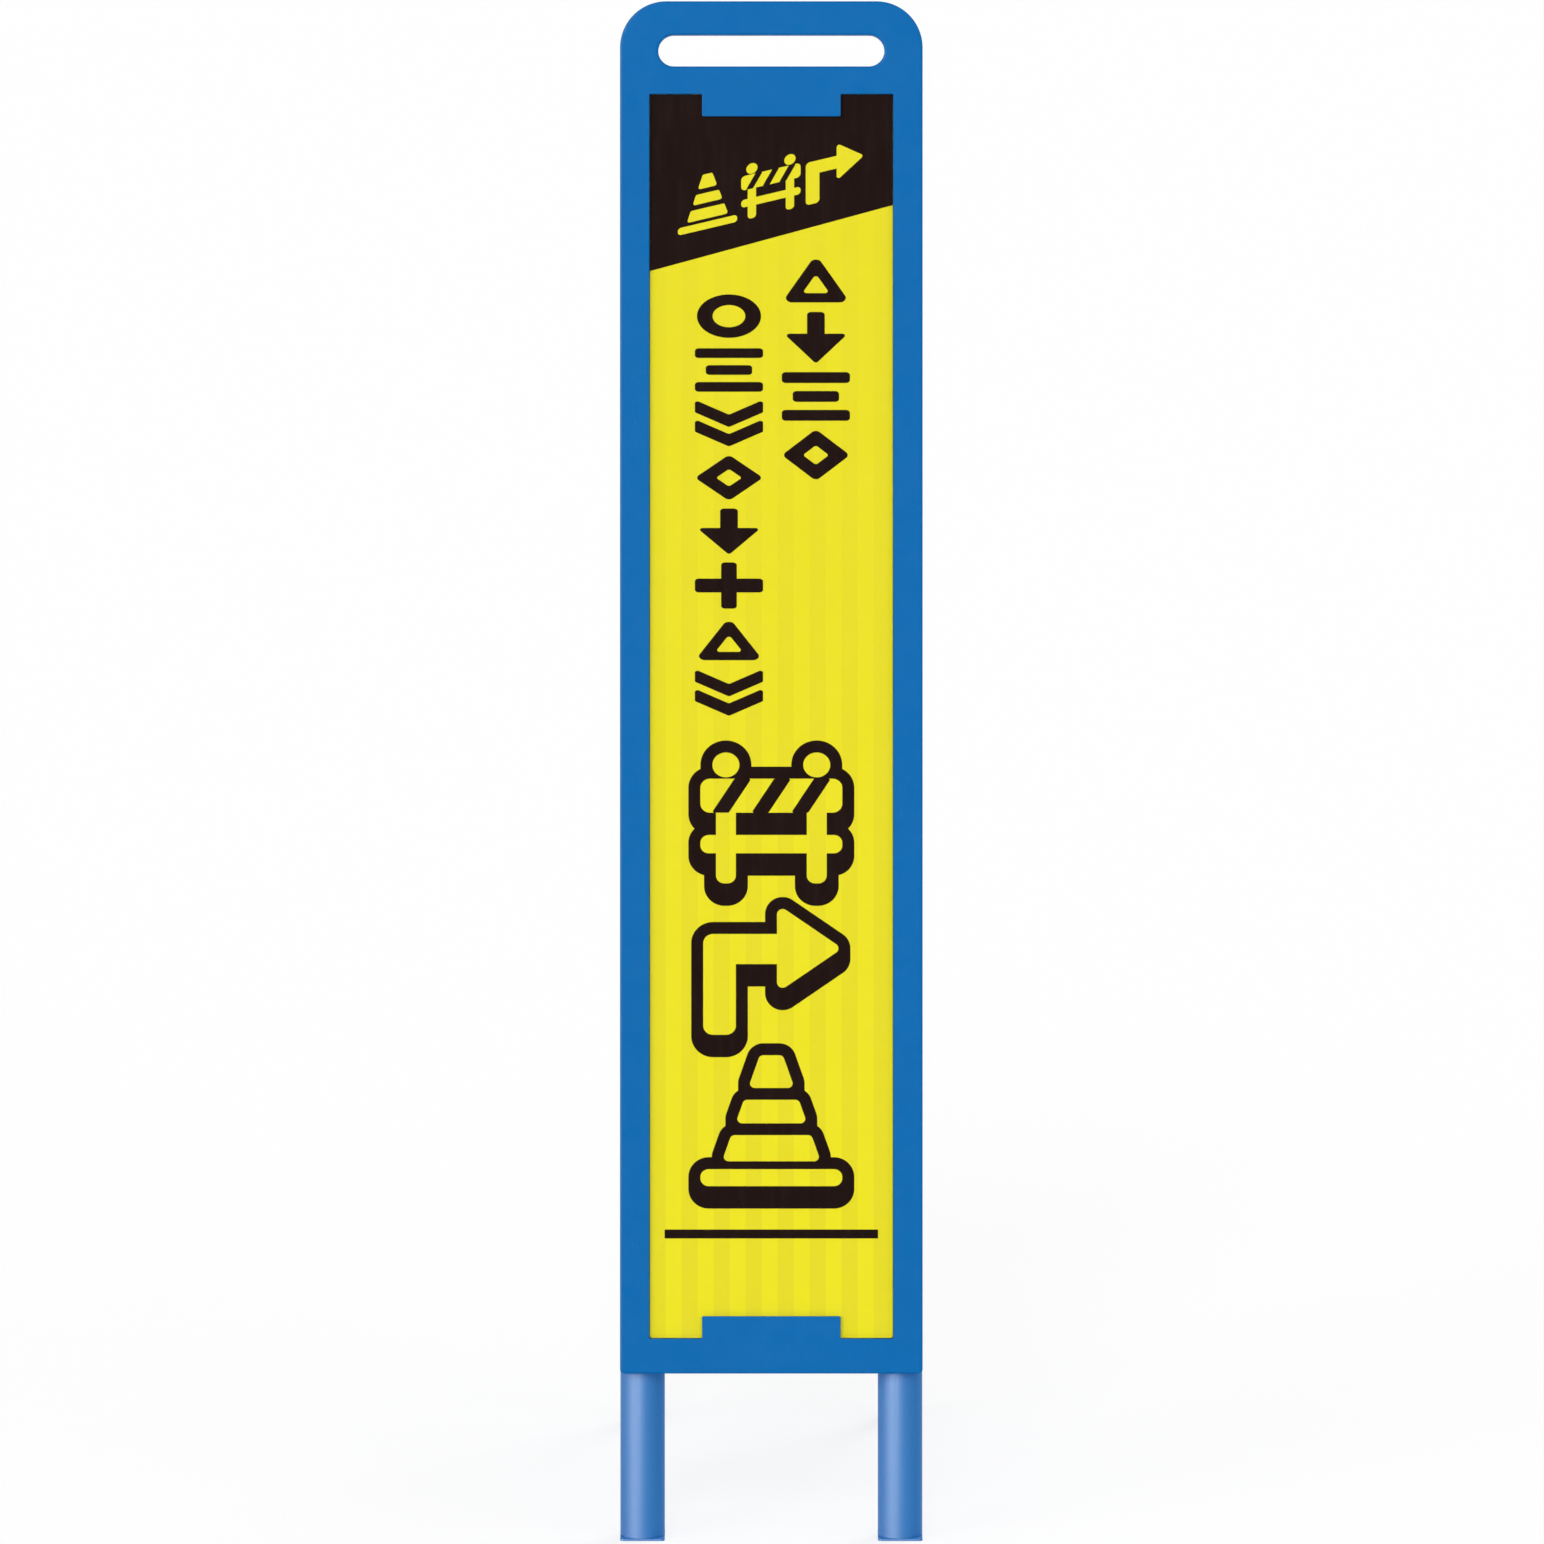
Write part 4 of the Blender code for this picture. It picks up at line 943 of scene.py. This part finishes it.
def make_upright_cap(name, at):
    """A plug with three crossing ridges in its hollow."""
    node = name + "_upright_cap"
    low, high = (corner.z for corner in local_box(node)[:2])
    seat = tube_high.z + CLEAR
    profile = (
        (STEM - 1 * MM, low, 0),
        (STEM, low + 2 * MM, 0.5 * MM),
        (STEM, seat, 0),
        (TUBE_RADIUS, seat, 0.3 * MM),
        (TUBE_RADIUS, high, 1 * MM),
        (STEM - 2.5 * MM, high, 0.5 * MM),
        (STEM - 2.7 * MM, low + 4 * MM, 1 * MM),
        (1 * MM, low + 4 * MM, 0),
    )
    ridge = rectangle(-0.7 * MM, 0.7 * MM, 1 * MM - STEM, STEM - 1 * MM, 0.3 * MM)
    layers = rounded_slab(low + 3 * MM, high - 5 * MM, 0.2 * MM)
    ridges = [slab(ridge, layers, upright, at @ turned(pi / 3 * index, "Z")) for index in range(3)]
    stand_in(node + "_plug", node, carve(lathe(profile, at, ROUND), ridges, "UNION"), plumb=True)


def make_uprights():
    foot_low, foot_high = local_box("right_front_foot")[:2]
    foot = foot_low.z + TUBE_RADIUS * SLOPE
    for name, side in SIDES:
        at = shift(side * TUBE_X, TUBE_DEPTH, 0)
        make_upright(name, at, foot)
        make_front_foot(name, at, foot, foot_high.z)
        make_upright_cap(name, at)


# Screws, bolts and other turned parts.
def cross_cutters(reach, top, depth):
    """The driving recess of a cross-head screw."""
    cutters = []
    for turn in (0, pi / 2):
        rings = []
        for height, share in ((top - depth, 0.35), (top + 1 * MM, 1.15)):
            a, b = reach * share, 0.28 * reach * (0.7 + 0.4 * share)
            rings.append([(-a, -b, height), (a, -b, height), (a, b, height), (-a, b, height)])
        cutters.append(skin(rings, at=turned(turn, "Z")))
    return cutters


def screw_mesh(radius, length, head, height):
    """A pan-head screw: its head stands on z = 0, its thread hangs below."""
    core = radius * 0.8
    pitch = radius * 0.55
    grooves = int((length - radius) / pitch * 0.8)
    start = radius - length
    profile = [(radius * 0.3, -length, 0), (core, start, 0)]
    for turn in range(grooves):
        profile += [(radius, start + (turn + 0.5) * pitch, 0), (core, start + (turn + 1) * pitch, 0)]
    profile += [
        (radius, start + (grooves + 0.6) * pitch, 0),
        (radius, 0, 0),
        (head - 0.15 * MM, 0, 0.1 * MM),
        (head, height * 0.25, height * 0.2),
        (head * 0.8, height * 0.85, height * 0.8),
        (head * 0.35, height, height * 0.5),
        (head * 0.05, height, 0),
    ]
    return carve(lathe(profile, steps=4), cross_cutters(head * 0.52, height, height * 0.62))


def make_screws():
    """Screws of a kind share one mesh, and each is turned a little further than the last."""
    kinds = (
        (UPRIGHT_SCREWS, UPRIGHT_SCREW, 5 * MM, 3 * MM),
        (BRACKET_SCREWS, BRACKET_SCREW, 4.6 * MM, 2.6 * MM),
        (RAIL_SCREWS, RAIL_SCREW, 4.2 * MM, 2.4 * MM),
    )
    for nodes, radius, head, height in kinds:
        low, high = local_box(nodes[0])[:2]
        mesh = screw_mesh(radius, high.y - low.y - height, head, height)
        for index, node in enumerate(nodes):
            _, high, centre = local_box(node)
            at = shift(centre.x, high.y - height, centre.z) @ TO_BACK @ turned(radians(37 * index), "Z")
            stand_in(node + "_pan", node, mesh, at=at)


# Hinges.
EAR = 3 * MM
EAR_RADIUS = 11 * MM
EAR_ROOT = 18 * MM
SADDLE = 3 * MM
WASHER_BORE = 4.1 * MM
HEAD = 4 * MM
HEAD_RADIUS = 7 * MM
KEY = 2.5 * MM
NUT = 6 * MM
NUT_FLAT = 6.2 * MM
THREAD = 1.25 * MM


def ear_outline(axis, middle, saddle, low, high):
    """The bracket from the side: a round ear about the hinge axis on a foot along the tube."""
    rise = axis - saddle
    sweep = pi - atan2(EAR_ROOT, rise) - acos(EAR_RADIUS / hypot(EAR_ROOT, rise))
    foot = soft(
        (
            (saddle, middle + EAR_ROOT, 0),
            (saddle, high.z, 1.5 * MM),
            (low.y, high.z, 0.5 * MM),
            (low.y, low.z, 0.5 * MM),
            (saddle, low.z, 1.5 * MM),
            (saddle, middle - EAR_ROOT, 0),
        )
    )
    return counter_clockwise(arc(Vector((axis, middle)), EAR_RADIUS, -sweep, 2 * sweep, 24) + foot)


def make_hinge(name, outward):
    node = name + "_hinge_bracket"
    low, high, centre = local_box(node)
    axis, saddle = high.y - EAR_RADIUS, tube_high.y + SADDLE
    half = (high.x - low.x) / 2
    gap = half - EAR
    left, right = centre.x - gap, centre.x + gap
    body = slab(ear_outline(axis, centre.z, saddle, low, high), rounded_slab(low.x, high.x, 0.5 * MM), across)
    mouth = high.y + OVER
    inside = soft(((left, mouth, 0), (left, saddle, 1.2 * MM), (right, saddle, 1.2 * MM), (right, mouth, 0)))
    channel = slab(inside, [(low.z - OVER, 0), (high.z + OVER, 0)], upright)
    barrel = rod(GROOVE_RADIUS, low.z - OVER, high.z + OVER, shift(centre.x, TUBE_DEPTH, 0), ROUND)
    hinge = shift(centre.x, axis, centre.z)
    pivot = rod(BOLT + PLAY, -half - OVER, half + OVER, hinge @ TO_RIGHT)
    holes = bmesh.new()
    for spot in ENDS:
        drill(holes, f"{name}_bracket_screw_{spot}", BRACKET_SCREW, TUBE_DEPTH, saddle + OVER)
    stand_in(node + "_saddle", node, carve(body, (channel, barrel, pivot, holes)), even=True)

    make_bolt(name, hinge @ outward, half + FIT)
    make_nut(name, hinge @ outward, half + FIT)
    for spot in ("inner", "outer"):
        node = f"{name}_hinge_washer_{spot}"
        low, high, centre = local_box(node)
        thick, radius = (high.x - low.x) / 2, (high.z - low.z) / 2
        ring = tube(-thick, thick, radius, radius - WASHER_BORE, 0.2 * MM, shift(*centre) @ outward)
        stand_in(node + "_ring", node, ring, even=True)


def make_bolt(name, at, seat):
    """A button-head bolt with a hexagon socket and a thread at its end."""
    node = name + "_hinge_bolt"
    end = -seat - NUT - 2 * MM
    start = end + 0.25 * MM
    top = seat + HEAD
    profile = [(BOLT - 0.9 * MM, end, 0)]
    for turn in range(6):
        groove = start + turn * THREAD
        profile += [(BOLT - 0.5 * MM, groove, 0), (BOLT, groove + THREAD / 2, 0.1 * MM)]
    profile += [
        (BOLT, end + 7 * THREAD, 0),
        (BOLT, seat, 0),
        (HEAD_RADIUS, seat, 0.2 * MM),
        (HEAD_RADIUS, seat + HEAD * 0.3, 0.5 * MM),
        (6.2 * MM, seat + HEAD * 0.75, 2 * MM),
        (3.6 * MM, top, 1.5 * MM),
        (0.3 * MM, top, 0),
    ]
    socket = slab(hexagon(KEY), [(seat + HEAD * 0.35, 0), (top + OVER, 0)], upright)
    stand_in(node + "_button", node, carve(lathe(profile, count=TURNED, steps=5), [socket]), at=at)


def make_nut(name, at, seat):
    """A lock nut: a chamfered hexagon with a collar that holds a nylon ring."""
    node = name + "_hinge_nut"
    low, shoulder, floor = -seat - NUT, -seat - NUT * 0.78, -seat - NUT * 0.7
    tip = NUT_FLAT / cos(pi / 6) + FIT
    prism = slab(hexagon(NUT_FLAT), [(shoulder, 0), (-seat, 0)], upright)
    chamfers = (
        (5.2 * MM, low, 0.5 * MM),
        (5.4 * MM, floor, 0),
        (NUT_FLAT - 0.2 * MM, shoulder, 0),
        (tip, -seat - NUT * 0.62, 0),
        (tip, -seat - NUT * 0.12, 0),
        (NUT_FLAT, -seat, 0),
        (0.3 * MM, -seat, 0),
    )
    solid = carve(prism, [lathe(chamfers, count=TURNED)], "INTERSECT")
    collar = tube(low, floor, 5.4 * MM, 0.9 * MM, 0.25 * MM, count=TURNED)
    bore = rod(BOLT + 0.05 * MM, -seat - NUT * 0.71, OVER - seat, count=TURNED)
    well = rod(4.5 * MM, low - OVER, floor, count=TURNED)
    solid = carve(carve(solid, [collar], "UNION"), (bore, well))
    stand_in(node + "_locking", node, solid, at=at, sharp=25)
    insert = tube(low + 0.5 * MM, -seat - NUT * 0.71, 4.45 * MM, 0.4 * MM, 0.1 * MM, count=TURNED)
    piece(node + "_insert", insert, LOOKS["nylon_washer"], "sign_frame", slot="nylon_washer", at=at)


def make_bumper(node):
    """The rubber stop on which the folded stand rests, with its stem in the tube."""
    low, high, centre = local_box(node)
    base, wide = tube_high.y + FIT, (high.x - low.x) / 2
    tip = wide - 0.8 * MM
    profile = (
        (2.2 * MM, low.y, 0.5 * MM),
        (BUMPER_STEM, low.y + 1.5 * MM, 0.5 * MM),
        (BUMPER_STEM, base, 0),
        (wide, base, 0.4 * MM),
        (wide, base + 3 * MM, 0.6 * MM),
        (tip, base + 3.6 * MM, 0.3 * MM),
        (tip, high.y, 1.6 * MM),
        (2.2 * MM, high.y, 0.6 * MM),
        (1.9 * MM, high.y - 1.6 * MM, 0.4 * MM),
        (0.1 * MM, high.y - 1.6 * MM, 0),
    )
    stand_in(node + "_stop", node, lathe(profile, shift(centre.x, 0, centre.z) @ TO_BACK, ROUND, steps=4))


def make_rail():
    """The guide rail: a bent channel with a slot in each flange."""
    low, high = local_box("guide_rail")[:2]
    pin_depth = local_box("stay_slide_pin", SIGN)[2].y
    half, inner, floor = high.x, high.x - RAIL_WALL, low.y + RAIL_WALL
    bend, lip = RAIL_WALL + 0.6 * MM, 0.8 * MM
    outline = soft(
        (
            (-half, low.y, bend),
            (half, low.y, bend),
            (half, high.y, lip),
            (inner, high.y, lip),
            (inner, floor, lip),
            (-inner, floor, lip),
            (-inner, high.y, lip),
            (-half, high.y, lip),
        )
    )
    body = slab(outline, rounded_slab(low.z, high.z, 0.35 * MM), upright)
    reach, margin = PIN + 0.25 * MM, 19.5 * MM
    pill = rectangle(
        pin_depth - reach, pin_depth + reach, low.z + margin, high.z - margin, reach * 0.999, steps=10
    )
    slot = slab(pill, through_slot(-half, half, 0.3 * MM, 2), across)
    holes = bmesh.new()
    for node in RAIL_SCREWS:
        drill(holes, node, RAIL_SCREW, low.y - OVER, floor + OVER)
    stand_in("guide_rail_channel", "guide_rail", carve(body, (slot, holes)), zinc, even=True)


# Rear stand.
STAND_SLOPE = -tan(OPENING - LEAN)
BEAD = 1.5 * MM


def weld(bm, bar_radius, leg_radius, at):
    """A rippled bead on the crossing of two tubes, a crossbar along X and a leg along Z."""
    count, sides, ripples = 72, 10, 18
    rings = []
    for index in range(count):
        turn = 2 * pi * index / count
        y, z = polar(bar_radius, turn)
        outward = Vector((0, cos(turn), sin(turn)))
        size = BEAD * (1 + 0.12 * sin(turn * ripples))
        centre = Vector((sqrt(leg_radius**2 - y * y), y, z))
        rings.append([centre + p.x * outward + Vector((p.y, 0, 0)) for p in circle(size, sides)])
    skin(rings, True, at, bm)


def make_rear_leg(name, side, bars, bar_radius):
    node = name + "_rear_leg"
    low, high, centre = local_box(node)
    radius = (high.x - low.x) / 2
    foot = low.z - STAND_SLOPE * radius
    at = shift(centre.x, centre.y, 0)
    body = tube(foot, high.z, radius, TUBE_WALL)
    level(body, STAND_SLOPE, foot + 10 * MM, foot + 20 * MM, at)
    inward = Matrix() if side < 0 else turned(pi, "Z")
    holes, beads = bmesh.new(), bmesh.new()
    for crossing in bars:
        place = at @ shift(0, 0, crossing.z) @ inward
        weld(beads, bar_radius, radius, place)
        rod(bar_radius + 0.02 * MM, 0, 2 * radius, place @ TO_RIGHT, ROUND, holes)
    hinge = local_box(name + "_hinge_bolt", STAND)[2]
    bore = rod(BOLT + PLAY, -2 * radius, 2 * radius, shift(*hinge) @ TO_RIGHT)
    stand_in(node + "_tube", node, carve(carve(body, [beads], "UNION"), (holes, bore)))
    make_leg_cap(name + "_rear_leg_cap", at, high.z + CLEAR, radius)
    make_rear_foot(name + "_rear_foot", at, radius)


def make_leg_cap(node, at, seat, radius):
    low, high = (corner.z for corner in local_box(node)[:2])
    stem = radius - TUBE_WALL - FIT
    profile = (
        (stem - 1 * MM, low, 0.3 * MM),
        (stem, low + 1 * MM, 0),
        (stem, seat, 0),
        (radius, seat, 0.2 * MM),
        (radius, seat + 0.7 * MM, 0.4 * MM),
        (radius - 2.5 * MM, high, 2 * MM),
        (0.2 * MM, high, 0),
    )
    stand_in(node + "_plug", node, lathe(profile, at, ROUND, steps=5), plumb=True)


def make_rear_foot(node, at, leg_radius):
    """A rubber boot with three grip rings, cut level with the road."""
    low, high = local_box(node)[:2]
    radius, top = (high.x - low.x) / 2, high.z
    base = low.z - STAND_SLOPE * (radius - 0.5 * MM)
    sole, floor = base + 0.6 * MM, base + 5 * MM
    bore, groove, fillet = leg_radius + FIT, radius - 0.9 * MM, 0.4 * MM
    profile = [(0.2 * MM, sole, 0), (radius - 6 * MM, sole, 0.3 * MM), (radius - 6.6 * MM, base, 0.2 * MM)]
    profile += [(radius - 1 * MM, base, 0.6 * MM), (radius, base + 1.4 * MM, 0.8 * MM)]
    for ring in range(3):
        start = base + (9 + 5 * ring) * MM
        profile += [(radius, start, fillet), (groove, start + 0.9 * MM, fillet)]
        profile += [(groove, start + 1.9 * MM, fillet), (radius, start + 2.8 * MM, fillet)]
    profile += [(radius, top - 1.6 * MM, 0.8 * MM), (radius - 1.2 * MM, top, 0.5 * MM)]
    profile += [(bore, top, 0.3 * MM), (bore, floor, 0), (0.2 * MM, floor, 0)]
    body = lathe(profile, count=ROUND)
    level(body, STAND_SLOPE, floor, base + 8.5 * MM, at)
    stand_in(node + "_boot", node, body, plumb=True)


def make_collar(node, bar_radius):
    """A stop ring on the upper crossbar, with its set screw."""
    low, high, centre = local_box(node)
    half, outer = (high.x - low.x) / 2, (high.z - low.z) / 2
    at = shift(*centre) @ TO_RIGHT
    sideways = shift(0, outer - 1.6 * MM, 0) @ TO_BACK
    body = tube(-half, half, outer, outer - bar_radius - FIT, 0.7 * MM)
    hole = rod(2 * MM, -2.6 * MM, 3 * MM, sideways, 24)
    stand_in(node + "_ring", node, carve(body, [hole]), at=at, even=True)
    radius, top = 1.85 * MM, 0.9 * MM
    profile = ((radius, -1.75 * MM, 0.3 * MM), (radius, top, 0.2 * MM), (0.1 * MM, top, 0))
    key = slab(hexagon(0.95 * MM), [(0.1 * MM, 0), (3 * MM, 0)], upright, sideways)
    screw = carve(lathe(profile, sideways, 24), [key])
    piece(node + "_set_screw", screw, LOOKS["black_plug"], "rear_stand", slot="zinc_steel", at=at)


def make_stand():
    bars = {spot: local_box(spot + "_crossbar") for spot in ("upper", "lower")}
    low, high = bars["upper"][:2]
    bar_radius = (high.z - low.z) / 2
    for name, side in SIDES:
        make_rear_leg(name, side, [centre for _, _, centre in bars.values()], bar_radius)
    for spot, (low, high, centre) in bars.items():
        node = spot + "_crossbar"
        body = tube(low.x, high.x, bar_radius, BAR_WALL, at=shift(*centre) @ TO_RIGHT)
        stand_in(node + "_tube", node, body)
    for name, _ in SIDES:
        make_collar(name + "_stay_collar", bar_radius)


# Stay with its slide pin and clip.
EYE = 12 * MM
EYE_BORE = 8.2 * MM
BOSS = 8.5 * MM
HALF_BAR = 2.5 * MM
GROOVE = 3.3 * MM


def make_stay():
    """A flat arm with an eye on the crossbar, a boss on the pin and a stiffener stamped into each face."""
    low, high = local_box("stay_arm")[:2]
    pin = local_box("stay_slide_pin")[2]
    eye_z = high.z - EYE
    outline = []
    for centre, radius, first in ((eye_z, EYE, 0), (pin.z, BOSS, pi)):
        meet = acos(HALF_BAR / radius)
        outline += arc(Vector((pin.y, centre)), radius, first - meet, pi + 2 * meet, 32)
    body = slab(outline, rounded_slab(low.x, high.x, 0.6 * MM), across)
    bores, beads = bmesh.new(), bmesh.new()
    for centre, radius in ((eye_z, EYE_BORE), (pin.z, PIN + FIT)):
        rod(radius, low.x - OVER, high.x + OVER, shift(0, pin.y, centre) @ TO_RIGHT, ROUND, bores)
    stiffener = rectangle(-3 * MM, 3 * MM, pin.z + 30 * MM, eye_z - 35 * MM, 2.99 * MM, steps=8)
    for way in (-1, 1):
        depth = pin.y + way * HALF_BAR
        slab(stiffener, pocket(depth, depth - way * 0.9 * MM, 0.4 * MM, 0.4 * MM), bm=beads)
    stand_in("stay_arm_strut", "stay_arm", carve(body, (bores, beads)), zinc, even=True)


def make_slide_pin(at):
    low, high = (corner.x for corner in local_box("stay_slide_pin")[:2])
    clip_low, clip_high = (corner.x for corner in local_box("stay_pin_clip")[:2])
    head, under = 6.5 * MM, low + 2.5 * MM
    profile = (
        (0.2 * MM, low, 0),
        (head - 0.6 * MM, low, 1 * MM),
        (head, low + 1 * MM, 0.4 * MM),
        (head, under, 0.2 * MM),
        (PIN, under, 0),
        (PIN, clip_low - FIT, 0.1 * MM),
        (GROOVE, clip_low - FIT, 0),
        (GROOVE, clip_high + FIT, 0),
        (PIN, clip_high + FIT, 0.1 * MM),
        (PIN, high - 0.8 * MM, 0.3 * MM),
        (3.2 * MM, high, 0.3 * MM),
        (0.2 * MM, high, 0),
    )
    stand_in("stay_slide_pin_turned", "stay_slide_pin", lathe(profile, count=TURNED), at=at)

    # The clip grips the pin's groove with three teeth and is open on one side.
    mouth, steps = radians(80), 48
    first, sweep = (pi + mouth) / 2, 2 * pi - mouth
    inner = []
    for step in range(steps, -1, -1):
        tooth = step < 6 or step > 42 or 20 < step < 28
        inner.append(polar(3.45 * MM if tooth else 4.7 * MM, first + sweep * step / steps))
    outline = counter_clockwise(arc(Vector((0, 0)), 6.6 * MM, first, sweep, steps) + inner)
    bevel = 0.1 * MM
    layers = [(clip_low, -bevel), (clip_low + bevel, 0), (clip_high - bevel, 0), (clip_high, -bevel)]
    stand_in("stay_pin_clip_ring", "stay_pin_clip", slab(outline, layers, upright), at=at)


make_frame()
make_board()
make_print()
make_uprights()
make_screws()
for side_name, side_way in SIDES:
    make_hinge(side_name, TO_RIGHT if side_way > 0 else TO_LEFT)
for side_name, _ in SIDES:
    make_bumper(side_name + "_fold_bumper")
make_rail()
make_stand()
make_stay()
pin_centre = local_box("stay_slide_pin")[2]
make_slide_pin(shift(0, pin_centre.y, pin_centre.z) @ TO_RIGHT)

# Floor: pale, and white to the camera but for the shadows.
FLOOR_REACH = 60
FLOOR_COLOUR = (0.86, 0.86, 0.86, 1)
FLOOR_GLOW = 0.62
FLOOR_WHITE = 1.16
AMBIENT = 0.45


def background_rays(tree):
    """1 for the rays that show the background: from the camera, in a reflection, and through glass."""
    path = tree.nodes.new("ShaderNodeLightPath").outputs
    total = path["Is Camera Ray"]
    for name in ("Is Glossy Ray", "Is Transmission Ray"):
        total = add_node(tree, "ShaderNodeMath", {0: total, 1: path[name]}, operation="MAXIMUM")
    return total


def make_floor():
    mesh = bpy.data.meshes.new("floor")
    corners = [(x * FLOOR_REACH, y * FLOOR_REACH, 0) for x, y in ((-1, -1), (1, -1), (1, 1), (-1, 1))]
    mesh.from_pydata(corners, [], [(0, 1, 2, 3)])
    material = bpy.data.materials.new("floor")
    material.use_nodes = True
    tree = material.node_tree
    tree.nodes.clear()
    share = add_node(tree, "ShaderNodeMath", {0: background_rays(tree), 1: FLOOR_GLOW}, operation="MULTIPLY")
    pale = add_node(tree, "ShaderNodeBsdfDiffuse", {"Color": FLOOR_COLOUR})
    glow = add_node(tree, "ShaderNodeEmission", {"Strength": FLOOR_WHITE})
    both = add_node(tree, "ShaderNodeMixShader", {0: share, 1: pale, 2: glow})
    feed(tree, tree.nodes.new("ShaderNodeOutputMaterial").inputs["Surface"], both)
    mesh.materials.append(material)
    add_object("floor", mesh)


def make_world():
    world = bpy.data.worlds.new("studio")
    bpy.context.scene.world = world
    world.use_nodes = True
    tree = world.node_tree
    light = tree.nodes["Background"]
    light.inputs["Color"].default_value = (1, 1, 1, 1)
    strength = add_node(tree, "ShaderNodeMapRange", {"Value": background_rays(tree), "To Min": AMBIENT})
    feed(tree, light.inputs["Strength"], strength)


def sun(name, azimuth, elevation, strength, width, matt=True):
    """A distant lamp, from the front at azimuth 0 and the right at 90. Not matt, it only makes highlights."""
    turn, rise = radians(azimuth), radians(elevation)
    from_there = Vector((sin(turn) * cos(rise), -cos(turn) * cos(rise), sin(rise)))
    lamp = bpy.data.lights.new(name, "SUN")
    lamp.energy = strength
    lamp.angle = radians(width)
    made = add_object(name, lamp)
    made.rotation_mode = "QUATERNION"
    made.rotation_quaternion = from_there.to_track_quat("Z", "Y")
    made.visible_diffuse = matt


make_floor()
make_world()
sun("key_light", -8, 40, 0.52, 20)
sun("side_light", -47, 12, 0.82, 34)
sun("fill_light", 48, 12, 0.6, 60)
sun("back_light", 145, 35, 1.0, 30)
sun("strip_light", -42, 17, 19.5, 50, matt=False)

# Camera, square to the leaning face.
PICTURE = 1403 * MM
FOCAL = 300
SENSOR = 36
AIM_HEIGHT = 695.95 * MM
AIM_ACROSS = 0.6 * MM


def make_camera():
    data = bpy.data.cameras.new("camera")
    data.sensor_width = SENSOR
    data.lens = FOCAL
    data.clip_start = 0.1
    data.clip_end = 200
    camera = add_object("camera", data)
    distance = PICTURE * FOCAL / SENSOR
    camera.matrix_world = SIGN @ shift(AIM_ACROSS, FACE - distance, ROAD + AIM_HEIGHT) @ turned(radians(90))
    bpy.context.scene.camera = camera


make_camera()
bpy.context.scene.view_settings.view_transform = "Standard"
